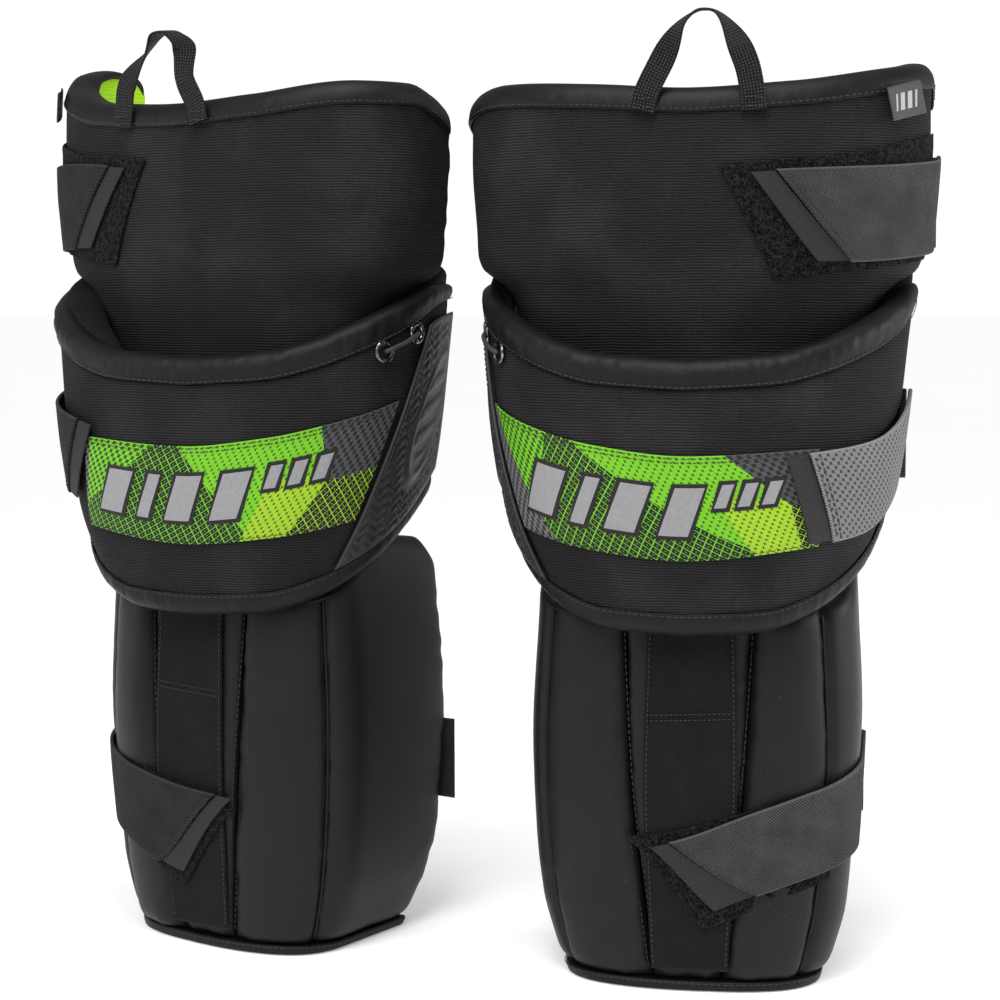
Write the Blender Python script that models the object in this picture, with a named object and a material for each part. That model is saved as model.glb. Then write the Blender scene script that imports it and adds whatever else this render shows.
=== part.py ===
"""A mirrored pair of goalie knee-and-thigh pads, standing side by side.

Each pad is three U-shaped guards, open at the back: a shin guard that stands on the floor,
a knee cup hinged to it, and a thigh guard hinged to the cup. Every guard is a stack of
layers. All lengths below are millimetres in the pad's own frame: +x towards the outer side
of the leg, +y backwards, +z up, with the middle of the leg at (0, MIDDLE_Y).
"""
import math

import bpy
import numpy as np

MM = 0.001
MIDDLE_Y = 45.0

# Where each pad stands: side of the row, mirror of x, position on the floor, turn about +z.
PADS = (
    {"side": "left", "mirror": -1, "at": (-144.8, -16.7), "yaw": -20.0,
     "twists": {"shin": -14.0, "thigh": -14.0}, "shin_shift": -5.0},
    {"side": "right", "mirror": 1, "at": (109.2, -96.7), "yaw": -10.0,
     "twists": {"shin": 0.0, "thigh": 0.0}, "shin_shift": 0.0},
)

# Outer faces: knots of (height, half width) and (height, front y), and the squareness.
SHIN = {
    "half": ((0, 67), (20, 74), (42, 80), (78, 84), (132, 86), (192, 83), (250, 80)),
    "front": ((0, 6), (50, 1), (110, -4), (170, -2), (250, 4)),
    "square": 2.5,
}
CUP = {
    "half": ((190, 72), (210, 82), (230, 91), (252, 98), (290, 105), (345, 111), (385, 115)),
    "front": ((190, -26), (215, -33), (257, -40), (300, -40), (345, -36), (385, -30)),
    "square": 2.4,
}
THIGH = {
    "half": ((315, 90), (340, 92), (366, 95), (377, 98), (382, 103), (386, 111), (391, 116),
             (400, 118), (440, 121), (470, 121), (500, 118)),
    "front": ((315, -6), (340, -8), (360, -13), (385, -20), (430, -24), (500, -20)),
    "square": 2.4,
}

# Where the side walls end, as an angle round the middle of the leg (0 = front).
SHIN_END, CUP_END, THIGH_END = 132.0, 99.0, 102.0

# Edges as knots of (angle from the front, height). All but the thigh's top are the same on both
# sides of the leg, and that one is higher on the outer side.
SHIN_TOP = ((0, 232), (36, 230), (47, 196), (60, 198), (75, 205), (90, 218), (112, 232), (124, 230),
            (132, 214))
CUP_BOTTOM = ((0, 202), (30, 204), (50, 212), (70, 228), (90, 252), (99, 266))
CUP_TOP = ((0, 321), (30, 324), (45, 330), (60, 340), (75, 352), (90, 364), (99, 367))
THIGH_BOTTOM = ((0, 324), (40, 328), (56, 336), (66, 342), (75, 348), (84, 354), (102, 358))
THIGH_TOP = ((-102, 464), (-95, 473), (-86, 478), (-70, 478), (-40, 473), (0, 470), (40, 473),
             (70, 482), (86, 488), (95, 493), (99, 493), (102, 487))

# Layer depths below the outer face of each guard.
GAP = 1.2
SHIN_FOAM, SHIN_PLATE, SHIN_LINER = 16.0, 19.0, 24.5
CUP_FOAM, CUP_CAP, CUP_LINER = 6.0, 9.0, 13.5
THIGH_FOAM, THIGH_LINER = 10.5, 16.0
# Angle of the seams between the shin's middle and side panels, at the floor and at the top.
SEAM = (25.0, 40.0)

# Body pivots: each empty stands on its joint's axis.
CUP_AXIS = (0.0, 78.0, 244.0)
THIGH_AXIS = (0.0, 74.0, 383.0)
LOOP_AXIS = (0.0, -22.5, 459.0)
STRAP_THICK = 2.2

# Bodies that turn with a twisted guard.
TWISTED = {"shin": "shin", "calf_strap": "shin", "calf_tab": "shin",
           "thigh": "thigh", "loop": "thigh", "thigh_strap": "thigh", "thigh_tab": "thigh"}

SLOTS = {
    "ribbed_knit": ((0.012, 0.012, 0.013), 0.85, 0.0),
    "smooth_knit": ((0.015, 0.015, 0.016), 0.75, 0.0),
    "nylon": ((0.010, 0.010, 0.011), 0.55, 0.0),
    "loop_pile": ((0.008, 0.008, 0.008), 0.95, 0.0),
    "elastic": ((0.014, 0.014, 0.015), 0.80, 0.0),
    "webbing": ((0.006, 0.006, 0.006), 0.70, 0.0),
    "green_liner": ((0.45, 0.80, 0.02), 0.80, 0.0),
    "green_band": ((0.22, 0.72, 0.01), 0.60, 0.0),
    "grey_tab": ((0.14, 0.14, 0.15), 0.70, 0.0),
    "rubber": ((0.028, 0.028, 0.030), 0.50, 0.0),
    "plate_plastic": ((0.60, 0.61, 0.62), 0.40, 0.0),
    "foam": ((0.09, 0.09, 0.10), 0.90, 0.0),
    "dark_steel": ((0.10, 0.10, 0.10), 0.25, 1.0),
    "cord": ((0.010, 0.010, 0.010), 0.60, 0.0),
    "tag_knit": ((0.045, 0.045, 0.048), 0.70, 0.0),
}


def smooth_curve(knots):
    """A smooth curve through (x, y) knots that never overshoots them."""
    x, y = np.array(knots, float).T
    step = np.diff(x)
    slope = np.diff(y) / step
    tangent = np.zeros(len(x))
    tangent[0], tangent[-1] = slope[0], slope[-1]
    same = slope[:-1] * slope[1:] > 0
    mean = 2 * slope[:-1] * slope[1:] / np.where(same, slope[:-1] + slope[1:], 1.0)
    tangent[1:-1] = np.where(same, mean, 0.0)

    def value(at):
        at = np.clip(at, x[0], x[-1])
        i = np.clip(np.searchsorted(x, at) - 1, 0, len(x) - 2)
        t = (at - x[i]) / step[i]
        first = (1 + 2 * t) * (1 - t) ** 2 * y[i] + t * (1 - t) ** 2 * step[i] * tangent[i]
        second = t * t * (3 - 2 * t) * y[i + 1] + t * t * (t - 1) * step[i] * tangent[i + 1]
        return first + second

    return value


def edge_curve(knots):
    """A height round the leg, the same on both sides of the front."""
    value = smooth_curve(knots)
    return lambda angle: value(np.abs(angle))


class Guard:
    """The outer face of one guard, by angle round the leg and height."""

    def __init__(self, shape):
        self.half = smooth_curve(shape["half"])
        self.front = smooth_curve(shape["front"])
        self.square = shape["square"]

    def face(self, angle, height):
        turn = np.radians(angle)
        wide = self.half(height)
        deep = MIDDLE_Y - self.front(height)
        side, ahead = np.abs(np.sin(turn)), np.cos(turn)
        power = self.square
        before = ((side / wide) ** power + (np.maximum(ahead, 0) / deep) ** power) ** (-1 / power)
        reach = np.where(ahead > 0, before, wide / np.maximum(side, 1e-6))
        return np.stack([reach * np.sin(turn), MIDDLE_Y - reach * ahead, height + 0 * angle], -1)

    def at(self, angle, height, out=0.0):
        """A point `out` mm outside the outer face, measured level and square to the face."""
        angle, height = np.broadcast_arrays(np.asarray(angle, float), np.asarray(height, float))
        across = self.face(angle + 0.5, height) - self.face(angle - 0.5, height)
        normal = np.stack([across[..., 1], -across[..., 0], 0 * angle], -1)
        normal /= np.linalg.norm(normal, axis=-1, keepdims=True)
        return self.face(angle, height) + normal * np.asarray(out)[..., None]


shin, cup, thigh = Guard(SHIN), Guard(CUP), Guard(THIGH)
shin_top, cup_bottom, cup_top = edge_curve(SHIN_TOP), edge_curve(CUP_BOTTOM), edge_curve(CUP_TOP)
thigh_bottom, thigh_top = edge_curve(THIGH_BOTTOM), smooth_curve(THIGH_TOP)


class Pad:
    """Places the meshes of one pad under its bodies' empties."""

    def __init__(self, side, mirror, at, yaw, twists, shin_shift):
        self.side, self.mirror = side, mirror
        self.twists, self.shift = twists, shin_shift
        self.pivots = {}
        self.empties = {}
        self.add_body("shin", (0.0, 0.0, 0.0), None)
        root = self.empties["shin"]
        root.location = (at[0] * MM, at[1] * MM, 0.0)
        root.rotation_euler = (0.0, 0.0, math.radians(yaw))

    def add_body(self, body, pivot, parent):
        empty = bpy.data.objects.new(f"{self.side}_{body}_axis", None)
        empty.empty_display_size = 0.03
        bpy.context.collection.objects.link(empty)
        pivot = np.array((pivot[0] * self.mirror, pivot[1], pivot[2]), float)
        if body in TWISTED and parent:
            pivot = self.twisted(pivot, TWISTED[body])
        if parent:
            empty.parent = self.empties[parent]
            empty.location = tuple((pivot - self.pivots[parent]) * MM)
        self.pivots[body] = pivot
        self.empties[body] = empty

    def twisted(self, points, guard):
        """The shin and thigh guards may sit turned about the leg, against the cup."""
        points = np.array(points, float)
        turn = math.radians(self.twists[guard])
        x, y = points[..., 0].copy(), points[..., 1] - MIDDLE_Y
        points[..., 0] = x * math.cos(turn) - y * math.sin(turn)
        points[..., 1] = x * math.sin(turn) + y * math.cos(turn) + MIDDLE_Y
        if guard == "shin":
            points[..., 0] += self.shift
        return points

    def add(self, name, body, slot, points, faces):
        points = np.array(points, float)
        points[:, 0] *= self.mirror
        if body in TWISTED:
            points = self.twisted(points, TWISTED[body])
        if signed_volume(points, faces) < 0:
            faces = [tuple(reversed(face)) for face in faces]
        points = (points - self.pivots[body]) * MM
        mesh = bpy.data.meshes.new(f"{self.side}_{name}")
        mesh.from_pydata(points.tolist(), [], faces)
        mesh.materials.append(materials[slot])
        mesh.shade_smooth()
        mesh.set_sharp_from_angle(angle=math.radians(40))
        piece = bpy.data.objects.new(f"{self.side}_{name}", mesh)
        piece.parent = self.empties[body]
        bpy.context.collection.objects.link(piece)


def signed_volume(points, faces):
    """Positive when the faces of a closed mesh point outwards."""
    total = 0.0
    for face in faces:
        for b, c in zip(face[1:], face[2:]):
            total += float(np.dot(points[face[0]], np.cross(points[b], points[c])))
    return total


def slab(outer, inner):
    """A closed sheet between two grids of points, both of shape (rows, columns, 3)."""
    rows, columns = outer.shape[:2]
    count = rows * columns
    points = np.concatenate([outer.reshape(-1, 3), inner.reshape(-1, 3)])
    faces = []
    for i in range(rows - 1):
        for j in range(columns - 1):
            a, b = i * columns + j, i * columns + j + 1
            c, d = b + columns, a + columns
            faces.append((a, b, c, d))
            faces.append((a + count, d + count, c + count, b + count))
    ring = [j for j in range(columns)]
    ring += [i * columns + columns - 1 for i in range(1, rows)]
    ring += [(rows - 1) * columns + j for j in range(columns - 2, -1, -1)]
    ring += [i * columns for i in range(rows - 2, 0, -1)]
    for a, b in zip(ring, ring[1:] + ring[:1]):
        faces.append((a, a + count, b + count, b))
    return points, faces


def sheet(guard, start, end, low, high, out, columns, rows):
    """A layer of a guard between angles `start` and `end` and heights `low` and `high`.

    `start` and `end` may each be a pair (at the low edge, at the high edge). `low` and `high`
    are numbers or functions of the angle. `out` is (inner, outer) distance from the face, or
    a function of the angle that gives both.
    """
    start = start if isinstance(start, tuple) else (start, start)
    end = end if isinstance(end, tuple) else (end, end)
    across, up = np.meshgrid(np.linspace(0, 1, columns + 1), np.linspace(0, 1, rows + 1))
    first = start[0] + (start[1] - start[0]) * up
    last = end[0] + (end[1] - end[0]) * up
    angle = first + (last - first) * across
    bottom = low(angle) if callable(low) else low
    top = high(angle) if callable(high) else high
    height = bottom + (top - bottom) * up
    inner, outer = out(angle) if callable(out) else out
    return slab(guard.at(angle, height, outer), guard.at(angle, height, inner))


def sweep(path, normals, section, closed=False):
    """A closed solid: `section` (points of (side, normal)) carried along a path."""
    path, normals = np.array(path, float), np.array(normals, float)
    if closed:
        tangent = np.roll(path, -1, 0) - np.roll(path, 1, 0)
    else:
        tangent = np.gradient(path, axis=0)
    tangent /= np.linalg.norm(tangent, axis=1, keepdims=True)
    normals = normals - (normals * tangent).sum(1, keepdims=True) * tangent
    normals /= np.linalg.norm(normals, axis=1, keepdims=True)
    side = np.cross(tangent, normals)
    section = np.array(section, float)
    size, steps = len(section), len(path)
    points = (path[:, None] + section[None, :, :1] * side[:, None]
              + section[None, :, 1:] * normals[:, None]).reshape(-1, 3)
    faces = []
    for i in range(steps if closed else steps - 1):
        for j in range(size):
            a, b = i * size + j, i * size + (j + 1) % size
            c, d = ((i + 1) % steps) * size + (j + 1) % size, ((i + 1) % steps) * size + j
            faces.append((a, b, c, d))
    if not closed:
        faces.append(tuple(reversed(range(size))))
        faces.append(tuple((steps - 1) * size + j for j in range(size)))
    return points, faces


def oval(wide, tall, sides):
    turns = [2 * math.pi * k / sides for k in range(sides)]
    return [(wide * math.cos(t), tall * math.sin(t)) for t in turns]


def box_section(wide, tall):
    return [(-wide / 2, -tall / 2), (wide / 2, -tall / 2), (wide / 2, tall / 2), (-wide / 2, tall / 2)]


def on_guard(guard, angle, height, out):
    """Points and outward directions along a line on a guard."""
    path = guard.at(angle, height, out)
    return path, guard.at(angle, height, out + 1.0) - path


def add_thigh(pad):
    end = THIGH_END
    foam_top = lambda angle: thigh_top(angle) - 3.4
    pad.add("thigh_shell", "thigh", "ribbed_knit",
            *sheet(thigh, -end, end, thigh_bottom, foam_top, (-THIGH_FOAM, 0), 22, 6))
    pad.add("thigh_liner", "thigh", "green_liner",
            *sheet(thigh, -end, end, thigh_bottom, foam_top,
                   (-THIGH_LINER, -THIGH_FOAM - GAP), 22, 6))
    add_facing(pad, end)
    patch_low = lambda angle: 380.0 + np.maximum(angle - 36, 0) * 0.25
    patch_high = lambda angle: 438 + 0.12 * (angle - 13)
    pad.add("thigh_patch", "thigh", "loop_pile",
            *sheet(thigh, (36, 13), (84, 84), patch_low, patch_high, (1.0, 2.0), 8, 3))
    add_tag(pad)


def add_facing(pad, end):
    """The smooth band folded over the top edge of the thigh guard."""
    angle = np.linspace(-end, end, 23)
    top = thigh_top(angle)
    rows = ((0.6, -12.0), (1.6, -12.0), (1.8, -1.2), (-1.0, 1.0), (-THIGH_LINER + 0.5, 1.0),
            (-THIGH_LINER - 1.8, -1.2), (-THIGH_LINER - 1.6, -12.0), (-THIGH_LINER - 0.6, -12.0),
            (-THIGH_LINER - 0.5, -1.4), (0.5, -1.4))
    rings = np.stack([thigh.at(angle, top + rise, out) for out, rise in rows], 1)
    steps, size = rings.shape[:2]
    faces = []
    for i in range(steps - 1):
        for j in range(size):
            a, b = i * size + j, i * size + (j + 1) % size
            faces.append((a, a + size, b + size, b))
    faces.append(tuple(range(size)))
    faces.append(tuple(reversed(range((steps - 1) * size, steps * size))))
    pad.add("thigh_facing", "thigh", "smooth_knit", rings.reshape(-1, 3), faces)


def add_tag(pad):
    """The small folded size tag sewn over the top seam."""
    angle, height = 67.0, 467.0
    middle, out = on_guard(thigh, angle, height, 2.8)
    across = thigh.at(angle + 1, height + 0.5) - thigh.at(angle - 1, height - 0.5)
    across /= np.linalg.norm(across)
    up = np.cross(out, across)
    grid = np.array([[middle + across * x + up * z for x in (-11.5, 11.5)] for z in (-8.5, 8.5)])
    pad.add("size_tag", "thigh", "tag_knit", *slab(grid + out * 1.6, grid))


def add_loop(pad):
    """The webbing pull loop, sewn by its feet to the top of the thigh guard."""
    inner, outer, apex = -23.0, 33.0, 9.0
    knots = ((inner, 459.5), (inner + 3, 470), (inner + 10, 484), (apex - 13, 500), (apex - 6, 507),
             (apex, 509), (apex + 7, 507), (apex + 14, 498), (outer - 4, 483), (outer - 1, 470),
             (outer, 459.5))
    x = np.array([knot[0] for knot in knots])
    z = np.array([knot[1] for knot in knots])
    face = thigh.at(np.degrees(np.arctan2(x, 67.0)), np.minimum(z, 470.0), 3.2)[:, 1]
    path = np.stack([x, face, z], 1)
    lift = np.clip((z - 484.0) / 24.0, 0, 1)
    outward = np.stack([(x - apex) * lift * 0.04, lift - 1.15, lift * 1.3], 1)
    pad.add("pull_loop", "loop", "webbing", *sweep(path, outward, box_section(12.7, 1.5)))


def add_cup(pad):
    end = CUP_END
    pad.add("cup_shell", "cup", "ribbed_knit",
            *sheet(cup, -end, end, cup_bottom, cup_top, (-CUP_FOAM, 0), 22, 6))
    cap_low = lambda angle: cup_bottom(angle) + 8
    cap_high = lambda angle: cup_top(angle) - 8
    pad.add("cup_cap", "cup", "plate_plastic",
            *sheet(cup, -end + 8, end - 8, cap_low, cap_high,
                   (-CUP_CAP, -CUP_FOAM - GAP), 18, 4))
    liner_low = lambda angle: cup_bottom(angle) + 1
    liner_high = lambda angle: cup_top(angle) - 1
    pad.add("cup_liner", "cup", "foam",
            *sheet(cup, -end + 1, end - 1, liner_low, liner_high,
                   (-CUP_LINER, -CUP_CAP - GAP), 20, 4))
    add_rims(pad, end)
    band_low, band_high = smooth_curve(BAND_LOW), smooth_curve(BAND_HIGH)
    pad.add("graphic_band", "cup", "green_band",
            *sheet(cup, (-59, -72), (45, 43), band_low, band_high, (1.1, 2.0), 14, 3))
    wing_low, wing_high = edge_curve(CUP_BOTTOM), edge_curve(CUP_TOP)
    pad.add("wing", "cup", "rubber",
            *sheet(cup, (-end, -end), (-54, -84), lambda a: wing_low(a) + 5,
                   lambda a: wing_high(a) - 8, (1.4, 3.7), 6, 5))
    add_lacing(pad)


BAND_LOW = ((-72, 253), (-57, 246), (-30, 238), (0, 234), (45, 241))
BAND_HIGH = ((-72, 311), (-57, 303), (-30, 292), (0, 287), (45, 291))


def beside(guard, edge, angle, distance):
    """The height of a line that runs `distance` mm above an edge, square to the edge."""
    before = guard.at(angle - 1.0, edge(angle - 1.0))
    after = guard.at(angle + 1.0, edge(angle + 1.0))
    run = np.linalg.norm((after - before)[..., :2], axis=-1)
    slope = (after - before)[..., 2] / run
    return edge(angle) + distance * np.sqrt(1 + slope ** 2)


def add_rims(pad, end):
    """The padded roll along the cup's top edge and the binding along its bottom edge."""
    angle = np.linspace(-end - 1, end + 1, 23)
    path, out = on_guard(cup, angle, beside(cup, cup_top, angle, 7.6), -5.0)
    pad.add("cup_upper_rim", "cup", "smooth_knit", *sweep(path, out, oval(6.6, 8.0, 8)))
    path, out = on_guard(cup, angle, beside(cup, cup_bottom, angle, -4.8), -5.0)
    pad.add("cup_lower_rim", "cup", "smooth_knit", *sweep(path, out, oval(3.8, 7.0, 6)))


def add_lacing(pad):
    """Two eyelets under the rim on the inner side, with one lace threaded through both."""
    spots = []
    for name, angle in (("front", -66.0), ("rear", -78.0)):
        height = cup_top(angle) - 7.0
        middle, out = on_guard(cup, angle, height, 1.4)
        along = cup.at(angle + 1, height) - cup.at(angle - 1, height)
        along /= np.linalg.norm(along)
        up = np.cross(out, along)
        turns = np.linspace(0, 2 * math.pi, 10, endpoint=False)
        ring = [middle + 4.2 * (math.cos(t) * along + math.sin(t) * up) for t in turns]
        normals = [out] * len(ring)
        pad.add(f"eyelet_{name}", "cup", "dark_steel", *sweep(ring, normals, oval(1.1, 0.8, 6), True))
        spots.append((middle, out))
    (front, out_f), (rear, out_r) = spots
    path = lace_path(front, out_f, rear, out_r)
    pad.add("lace", "cup", "cord", *sweep(path[0], path[1], oval(1.2, 1.2, 6)))


def lace_path(front, out_f, rear, out_r):
    """Out of the front eyelet, along under the rim and into the rear eyelet."""
    knots = []
    for t in np.linspace(0, 1, 11):
        middle = front + (rear - front) * t
        out = out_f + (out_r - out_f) * t
        arch = math.sin(math.pi * t) ** 0.45 * 3.9 + 0.1
        knots.append((middle + out * arch, out))
    return [k[0] for k in knots], [k[1] + np.array((0.3, 0.3, 1.0)) for k in knots]


def add_shin(pad):
    end = SHIN_END
    floor = lambda angle: 5.4 + 0 * angle
    tops = shin_top
    low, high = SEAM
    layer = (-SHIN_FOAM, 0)
    pad.add("shin_front", "shin", "nylon",
            *sheet(shin, (0.4 - low, 0.4 - high), (low - 0.4, high - 0.4), floor, tops, layer, 6, 5))
    pad.add("shin_wing_inner", "shin", "nylon",
            *sheet(shin, -end, (-low - 0.4, -high - 0.4), floor, tops, layer, 10, 5))
    pad.add("shin_wing_outer", "shin", "nylon",
            *sheet(shin, (low + 0.4, high + 0.4), end, floor, tops, layer, 10, 5))
    plate_top = lambda angle: tops(angle) - 10
    pad.add("shin_plate", "shin", "plate_plastic",
            *sheet(shin, -84, 84, lambda a: 14 + 0 * a, plate_top,
                   (-SHIN_PLATE, -SHIN_FOAM - GAP), 16, 3))
    liner_top = lambda angle: tops(angle) - 2
    pad.add("shin_liner", "shin", "foam",
            *sheet(shin, -end + 2, end - 2, floor, liner_top,
                   (-SHIN_LINER, -SHIN_PLATE - GAP), 24, 3))
    add_hem(pad, end)
    pad.add("shin_elastic", "shin", "elastic",
            *sheet(shin, -25, 29, 11.5, 217.0, (1.0, 2.3), 5, 5))


def add_hem(pad, end):
    """The binding under the shin guard: the flat edge that stands on the floor."""
    angle = np.linspace(-end, end, 25)
    outer = shin.at(angle, 4.0 + 0 * angle, 0.8)
    inner = shin.at(angle, 4.0 + 0 * angle, -SHIN_LINER)
    top = np.stack([outer, inner])
    low = top.copy()
    low[..., 2] = 0.0
    pad.add("shin_hem", "shin", "smooth_knit", *slab(low[::-1], top[::-1]))


def flat_strap(guard, low, high, end, beyond):
    """The part of a strap that crosses the open back of a guard."""
    middle = (low + high) / 2
    edge = guard.face(np.array(end), np.array(middle))
    near, far = edge[1] + 0.8, edge[1] + 0.8 + STRAP_THICK
    inner, outer = -edge[0] - beyond, edge[0] + TAB_OUT + STRAP_THICK
    grid = np.array([[(inner, 0, low), (outer, 0, low)], [(inner, 0, high), (outer, 0, high)]])
    back, front = grid.copy(), grid.copy()
    back[..., 1], front[..., 1] = far, near
    points, faces = slab(front, back)
    return points, faces


TAB_OUT = 3.2


def add_straps(pad):
    """Three straps: each crosses the back and closes with a tab on the outer front."""
    for name, parent, guard, end, low, high, slot in STRAPS:
        points, faces = flat_strap(guard, low, high, end, 5.0)
        inner = points[:, 0].min()
        outer = points[:, 0].max()
        near = points[:, 1].min()
        middle = (low + high) / 2
        pad.add_body(f"{name}_strap", (inner, near, middle), parent)
        pad.add_body(f"{name}_tab", (outer, near - 0.3, middle), f"{name}_strap")
        pad.add(f"{name}_strap", f"{name}_strap", "elastic", points, faces)
        tip_low, tip_high, tab_low, tab_high = TABS[name]
        tab_end = near_end(guard, middle, near - 1.2)
        layer = calf_tab_layer if name == "calf" else (TAB_OUT, TAB_OUT + STRAP_THICK)
        pad.add(f"{name}_tab", f"{name}_tab", slot,
                *sheet(guard, (tip_low, tip_high), (tab_end, tab_end), tab_low, tab_high,
                       layer, 18 if name != "calf" else 24, 3))


def calf_patch_layer(angle):
    """The patch lies on the front elastic and steps down to the shin beside it."""
    step = np.clip((np.abs(angle) - 35.0) / 5.0, 0, 1)
    return 2.8 - 2.0 * step, 3.9 - 2.3 * step


def calf_tab_layer(angle):
    step = np.clip((np.abs(angle) - 46.0) / 12.0, 0, 1)
    inner = 5.2 - (5.2 - TAB_OUT) * step
    return inner, inner + STRAP_THICK


def near_end(guard, height, back):
    """The angle at which a guard's side wall reaches a given y."""
    wide = guard.half(np.array(height))
    return 90.0 + math.degrees(math.atan2(back - MIDDLE_Y, float(wide)))


# Straps: name, body they are sewn to, guard, end of the side wall, low and high edge, slot.
STRAPS = (
    ("thigh", "thigh", thigh, THIGH_END, 393.0, 441.0, "elastic"),
    ("knee", "cup", cup, CUP_END, 270.0, 318.0, "grey_tab"),
    ("calf", "shin", shin, SHIN_END, 74.0, 121.0, "elastic"),
)


def ramp(*knots):
    value = smooth_curve(knots)
    return lambda angle: value(angle)


# Tabs: angle of the tip at the low and the high edge, and the two edges.
TABS = {
    "thigh": (47.0, 24.0, ramp((22, 387), (60, 390), (90, 393)), ramp((22, 434), (60, 438), (90, 441))),
    "knee": (41.0, 33.0, ramp((31, 240), (60, 246), (90, 270)), ramp((31, 287), (60, 294), (90, 318))),
    "calf": (19.0, -21.0, ramp((-21, 34), (5, 40), (60, 63), (90, 74), (118, 74)),
             ramp((-21, 80), (5, 87), (60, 110), (90, 121), (118, 121))),
}


for thing in list(bpy.data.objects):
    bpy.data.objects.remove(thing, do_unlink=True)

materials = {}
for slot, (colour, roughness, metallic) in SLOTS.items():
    material = bpy.data.materials.new(slot)
    material.use_nodes = True
    shader = material.node_tree.nodes["Principled BSDF"]
    shader.inputs["Base Color"].default_value = (*colour, 1.0)
    shader.inputs["Roughness"].default_value = roughness
    shader.inputs["Metallic"].default_value = metallic
    materials[slot] = material

for spec in PADS:
    pad = Pad(**spec)
    pad.add_body("cup", CUP_AXIS, "shin")
    pad.add_body("thigh", THIGH_AXIS, "cup")
    pad.add_body("loop", LOOP_AXIS, "thigh")
    add_shin(pad)
    add_cup(pad)
    add_thigh(pad)
    add_loop(pad)
    add_straps(pad)
    pad.add("calf_patch", "shin", "loop_pile",
            *sheet(shin, (12, -34), (70, 70), ramp((-34, 30), (0, 32), (70, 60)),
                   ramp((-34, 84), (0, 90), (70, 112)), calf_patch_layer, 20, 3))
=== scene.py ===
"""The looks of a mirrored pair of goalie knee-and-thigh pads.

Every soft piece is remade as fine sewn cloth, most of them in the space of their plain solids.
The tabs and patches, the thigh guards' outlines, the shin's top and the rims leave that space, and
the gussets, hooks, piping and bars have no solid. Lengths in the functions below are millimetres
in one pad's own frame: +x towards the outer side of the leg, +y backwards, +z up, with the middle
of the leg at (0, MIDDLE_Y). Pad.world() puts them in place.
"""
import math

import bpy
import numpy as np
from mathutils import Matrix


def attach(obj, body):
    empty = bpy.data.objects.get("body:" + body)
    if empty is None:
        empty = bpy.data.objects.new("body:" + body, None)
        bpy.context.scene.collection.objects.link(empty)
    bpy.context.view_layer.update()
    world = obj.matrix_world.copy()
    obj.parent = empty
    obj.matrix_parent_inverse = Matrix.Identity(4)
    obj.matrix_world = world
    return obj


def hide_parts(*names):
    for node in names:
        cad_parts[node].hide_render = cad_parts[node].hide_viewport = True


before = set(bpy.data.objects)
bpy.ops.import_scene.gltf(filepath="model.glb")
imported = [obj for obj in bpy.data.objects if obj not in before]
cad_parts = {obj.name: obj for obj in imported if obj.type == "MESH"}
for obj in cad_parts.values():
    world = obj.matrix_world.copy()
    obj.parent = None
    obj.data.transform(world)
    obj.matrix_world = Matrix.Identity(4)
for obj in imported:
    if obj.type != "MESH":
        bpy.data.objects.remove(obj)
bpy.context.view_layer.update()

MM = 0.001
MIDDLE_Y = 45.0

# ---------------------------------------------------------------- the guards' outer faces

PADS = (
    {"side": "left", "mirror": -1, "at": (-144.8, -16.7), "yaw": -20.0,
     "twists": {"shin": -14.0, "thigh": -14.0}, "shin_shift": -5.0},
    {"side": "right", "mirror": 1, "at": (109.2, -96.7), "yaw": -10.0,
     "twists": {"shin": 0.0, "thigh": 0.0}, "shin_shift": 0.0},
)
SHIN = {
    "half": ((0, 67), (20, 74), (42, 80), (78, 84), (132, 86), (192, 83), (250, 80)),
    "front": ((0, 6), (50, 1), (110, -4), (170, -2), (250, 4)),
    "square": 2.5,
}
CUP = {
    "half": ((190, 72), (210, 82), (230, 91), (252, 98), (290, 105), (345, 111), (385, 115)),
    "front": ((190, -26), (215, -33), (257, -40), (300, -40), (345, -36), (385, -30)),
    "square": 2.4,
}
THIGH = {
    "half": ((315, 91), (340, 94.5), (360, 97), (366, 98.5), (370, 101), (374, 105), (378, 111),
             (382, 115.5), (390, 118), (400, 118.5), (440, 121), (470, 121), (500, 118)),
    "front": ((315, -6), (340, -8), (360, -13), (385, -20), (430, -24), (500, -20)),
    "square": 2.4,
}
SHIN_END, CUP_END, THIGH_END = 132.0, 99.0, 102.0
SHIN_TOP = ((0, 232), (36, 230), (47, 201), (60, 203), (75, 208), (90, 219), (112, 232), (124, 230),
            (132, 214))
CUP_BOTTOM = ((0, 202), (30, 204), (50, 212), (70, 228), (90, 252), (99, 266))
CUP_TOP = ((0, 321), (30, 324), (45, 330), (60, 340), (75, 352), (90, 364), (99, 367))
THIGH_BOTTOM = ((0, 324), (40, 328), (56, 336), (66, 342), (75, 348), (84, 354), (102, 358))
THIGH_TOPS = {
    "right": ((-102, 458), (-92, 465), (-82, 470), (-66, 475), (-40, 473), (0, 470), (40, 473),
              (70, 481), (84, 485), (92, 486), (98, 483), (102, 477)),
    "left": ((-102, 466), (-95, 474), (-86, 479), (-70, 479), (-40, 473), (0, 470), (40, 473),
             (66, 485), (78, 495), (90, 499), (98, 497), (102, 490)),
}
BAND_LOW = ((-72, 253), (-57, 246), (-30, 238), (0, 234), (45, 241))
BAND_HIGH = ((-72, 311), (-57, 303), (-30, 292), (0, 287), (45, 291))
GAP = 1.2
SHIN_FOAM, SHIN_PLATE, SHIN_LINER = 16.0, 19.0, 24.5
CUP_FOAM, CUP_CAP, CUP_LINER = 6.0, 9.0, 13.5
THIGH_FOAM, THIGH_LINER = 10.5, 16.0
SEAM = (25.0, 40.0)
SHIN_FLOOR = 5.4
STRAP_THICK = 2.2
TAB_OUT = 3.2
BAND_LONG, BAND_TALL = 190.0, 52.0
WHITE = (1.0, 1.0, 1.0, 1.0)
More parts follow.
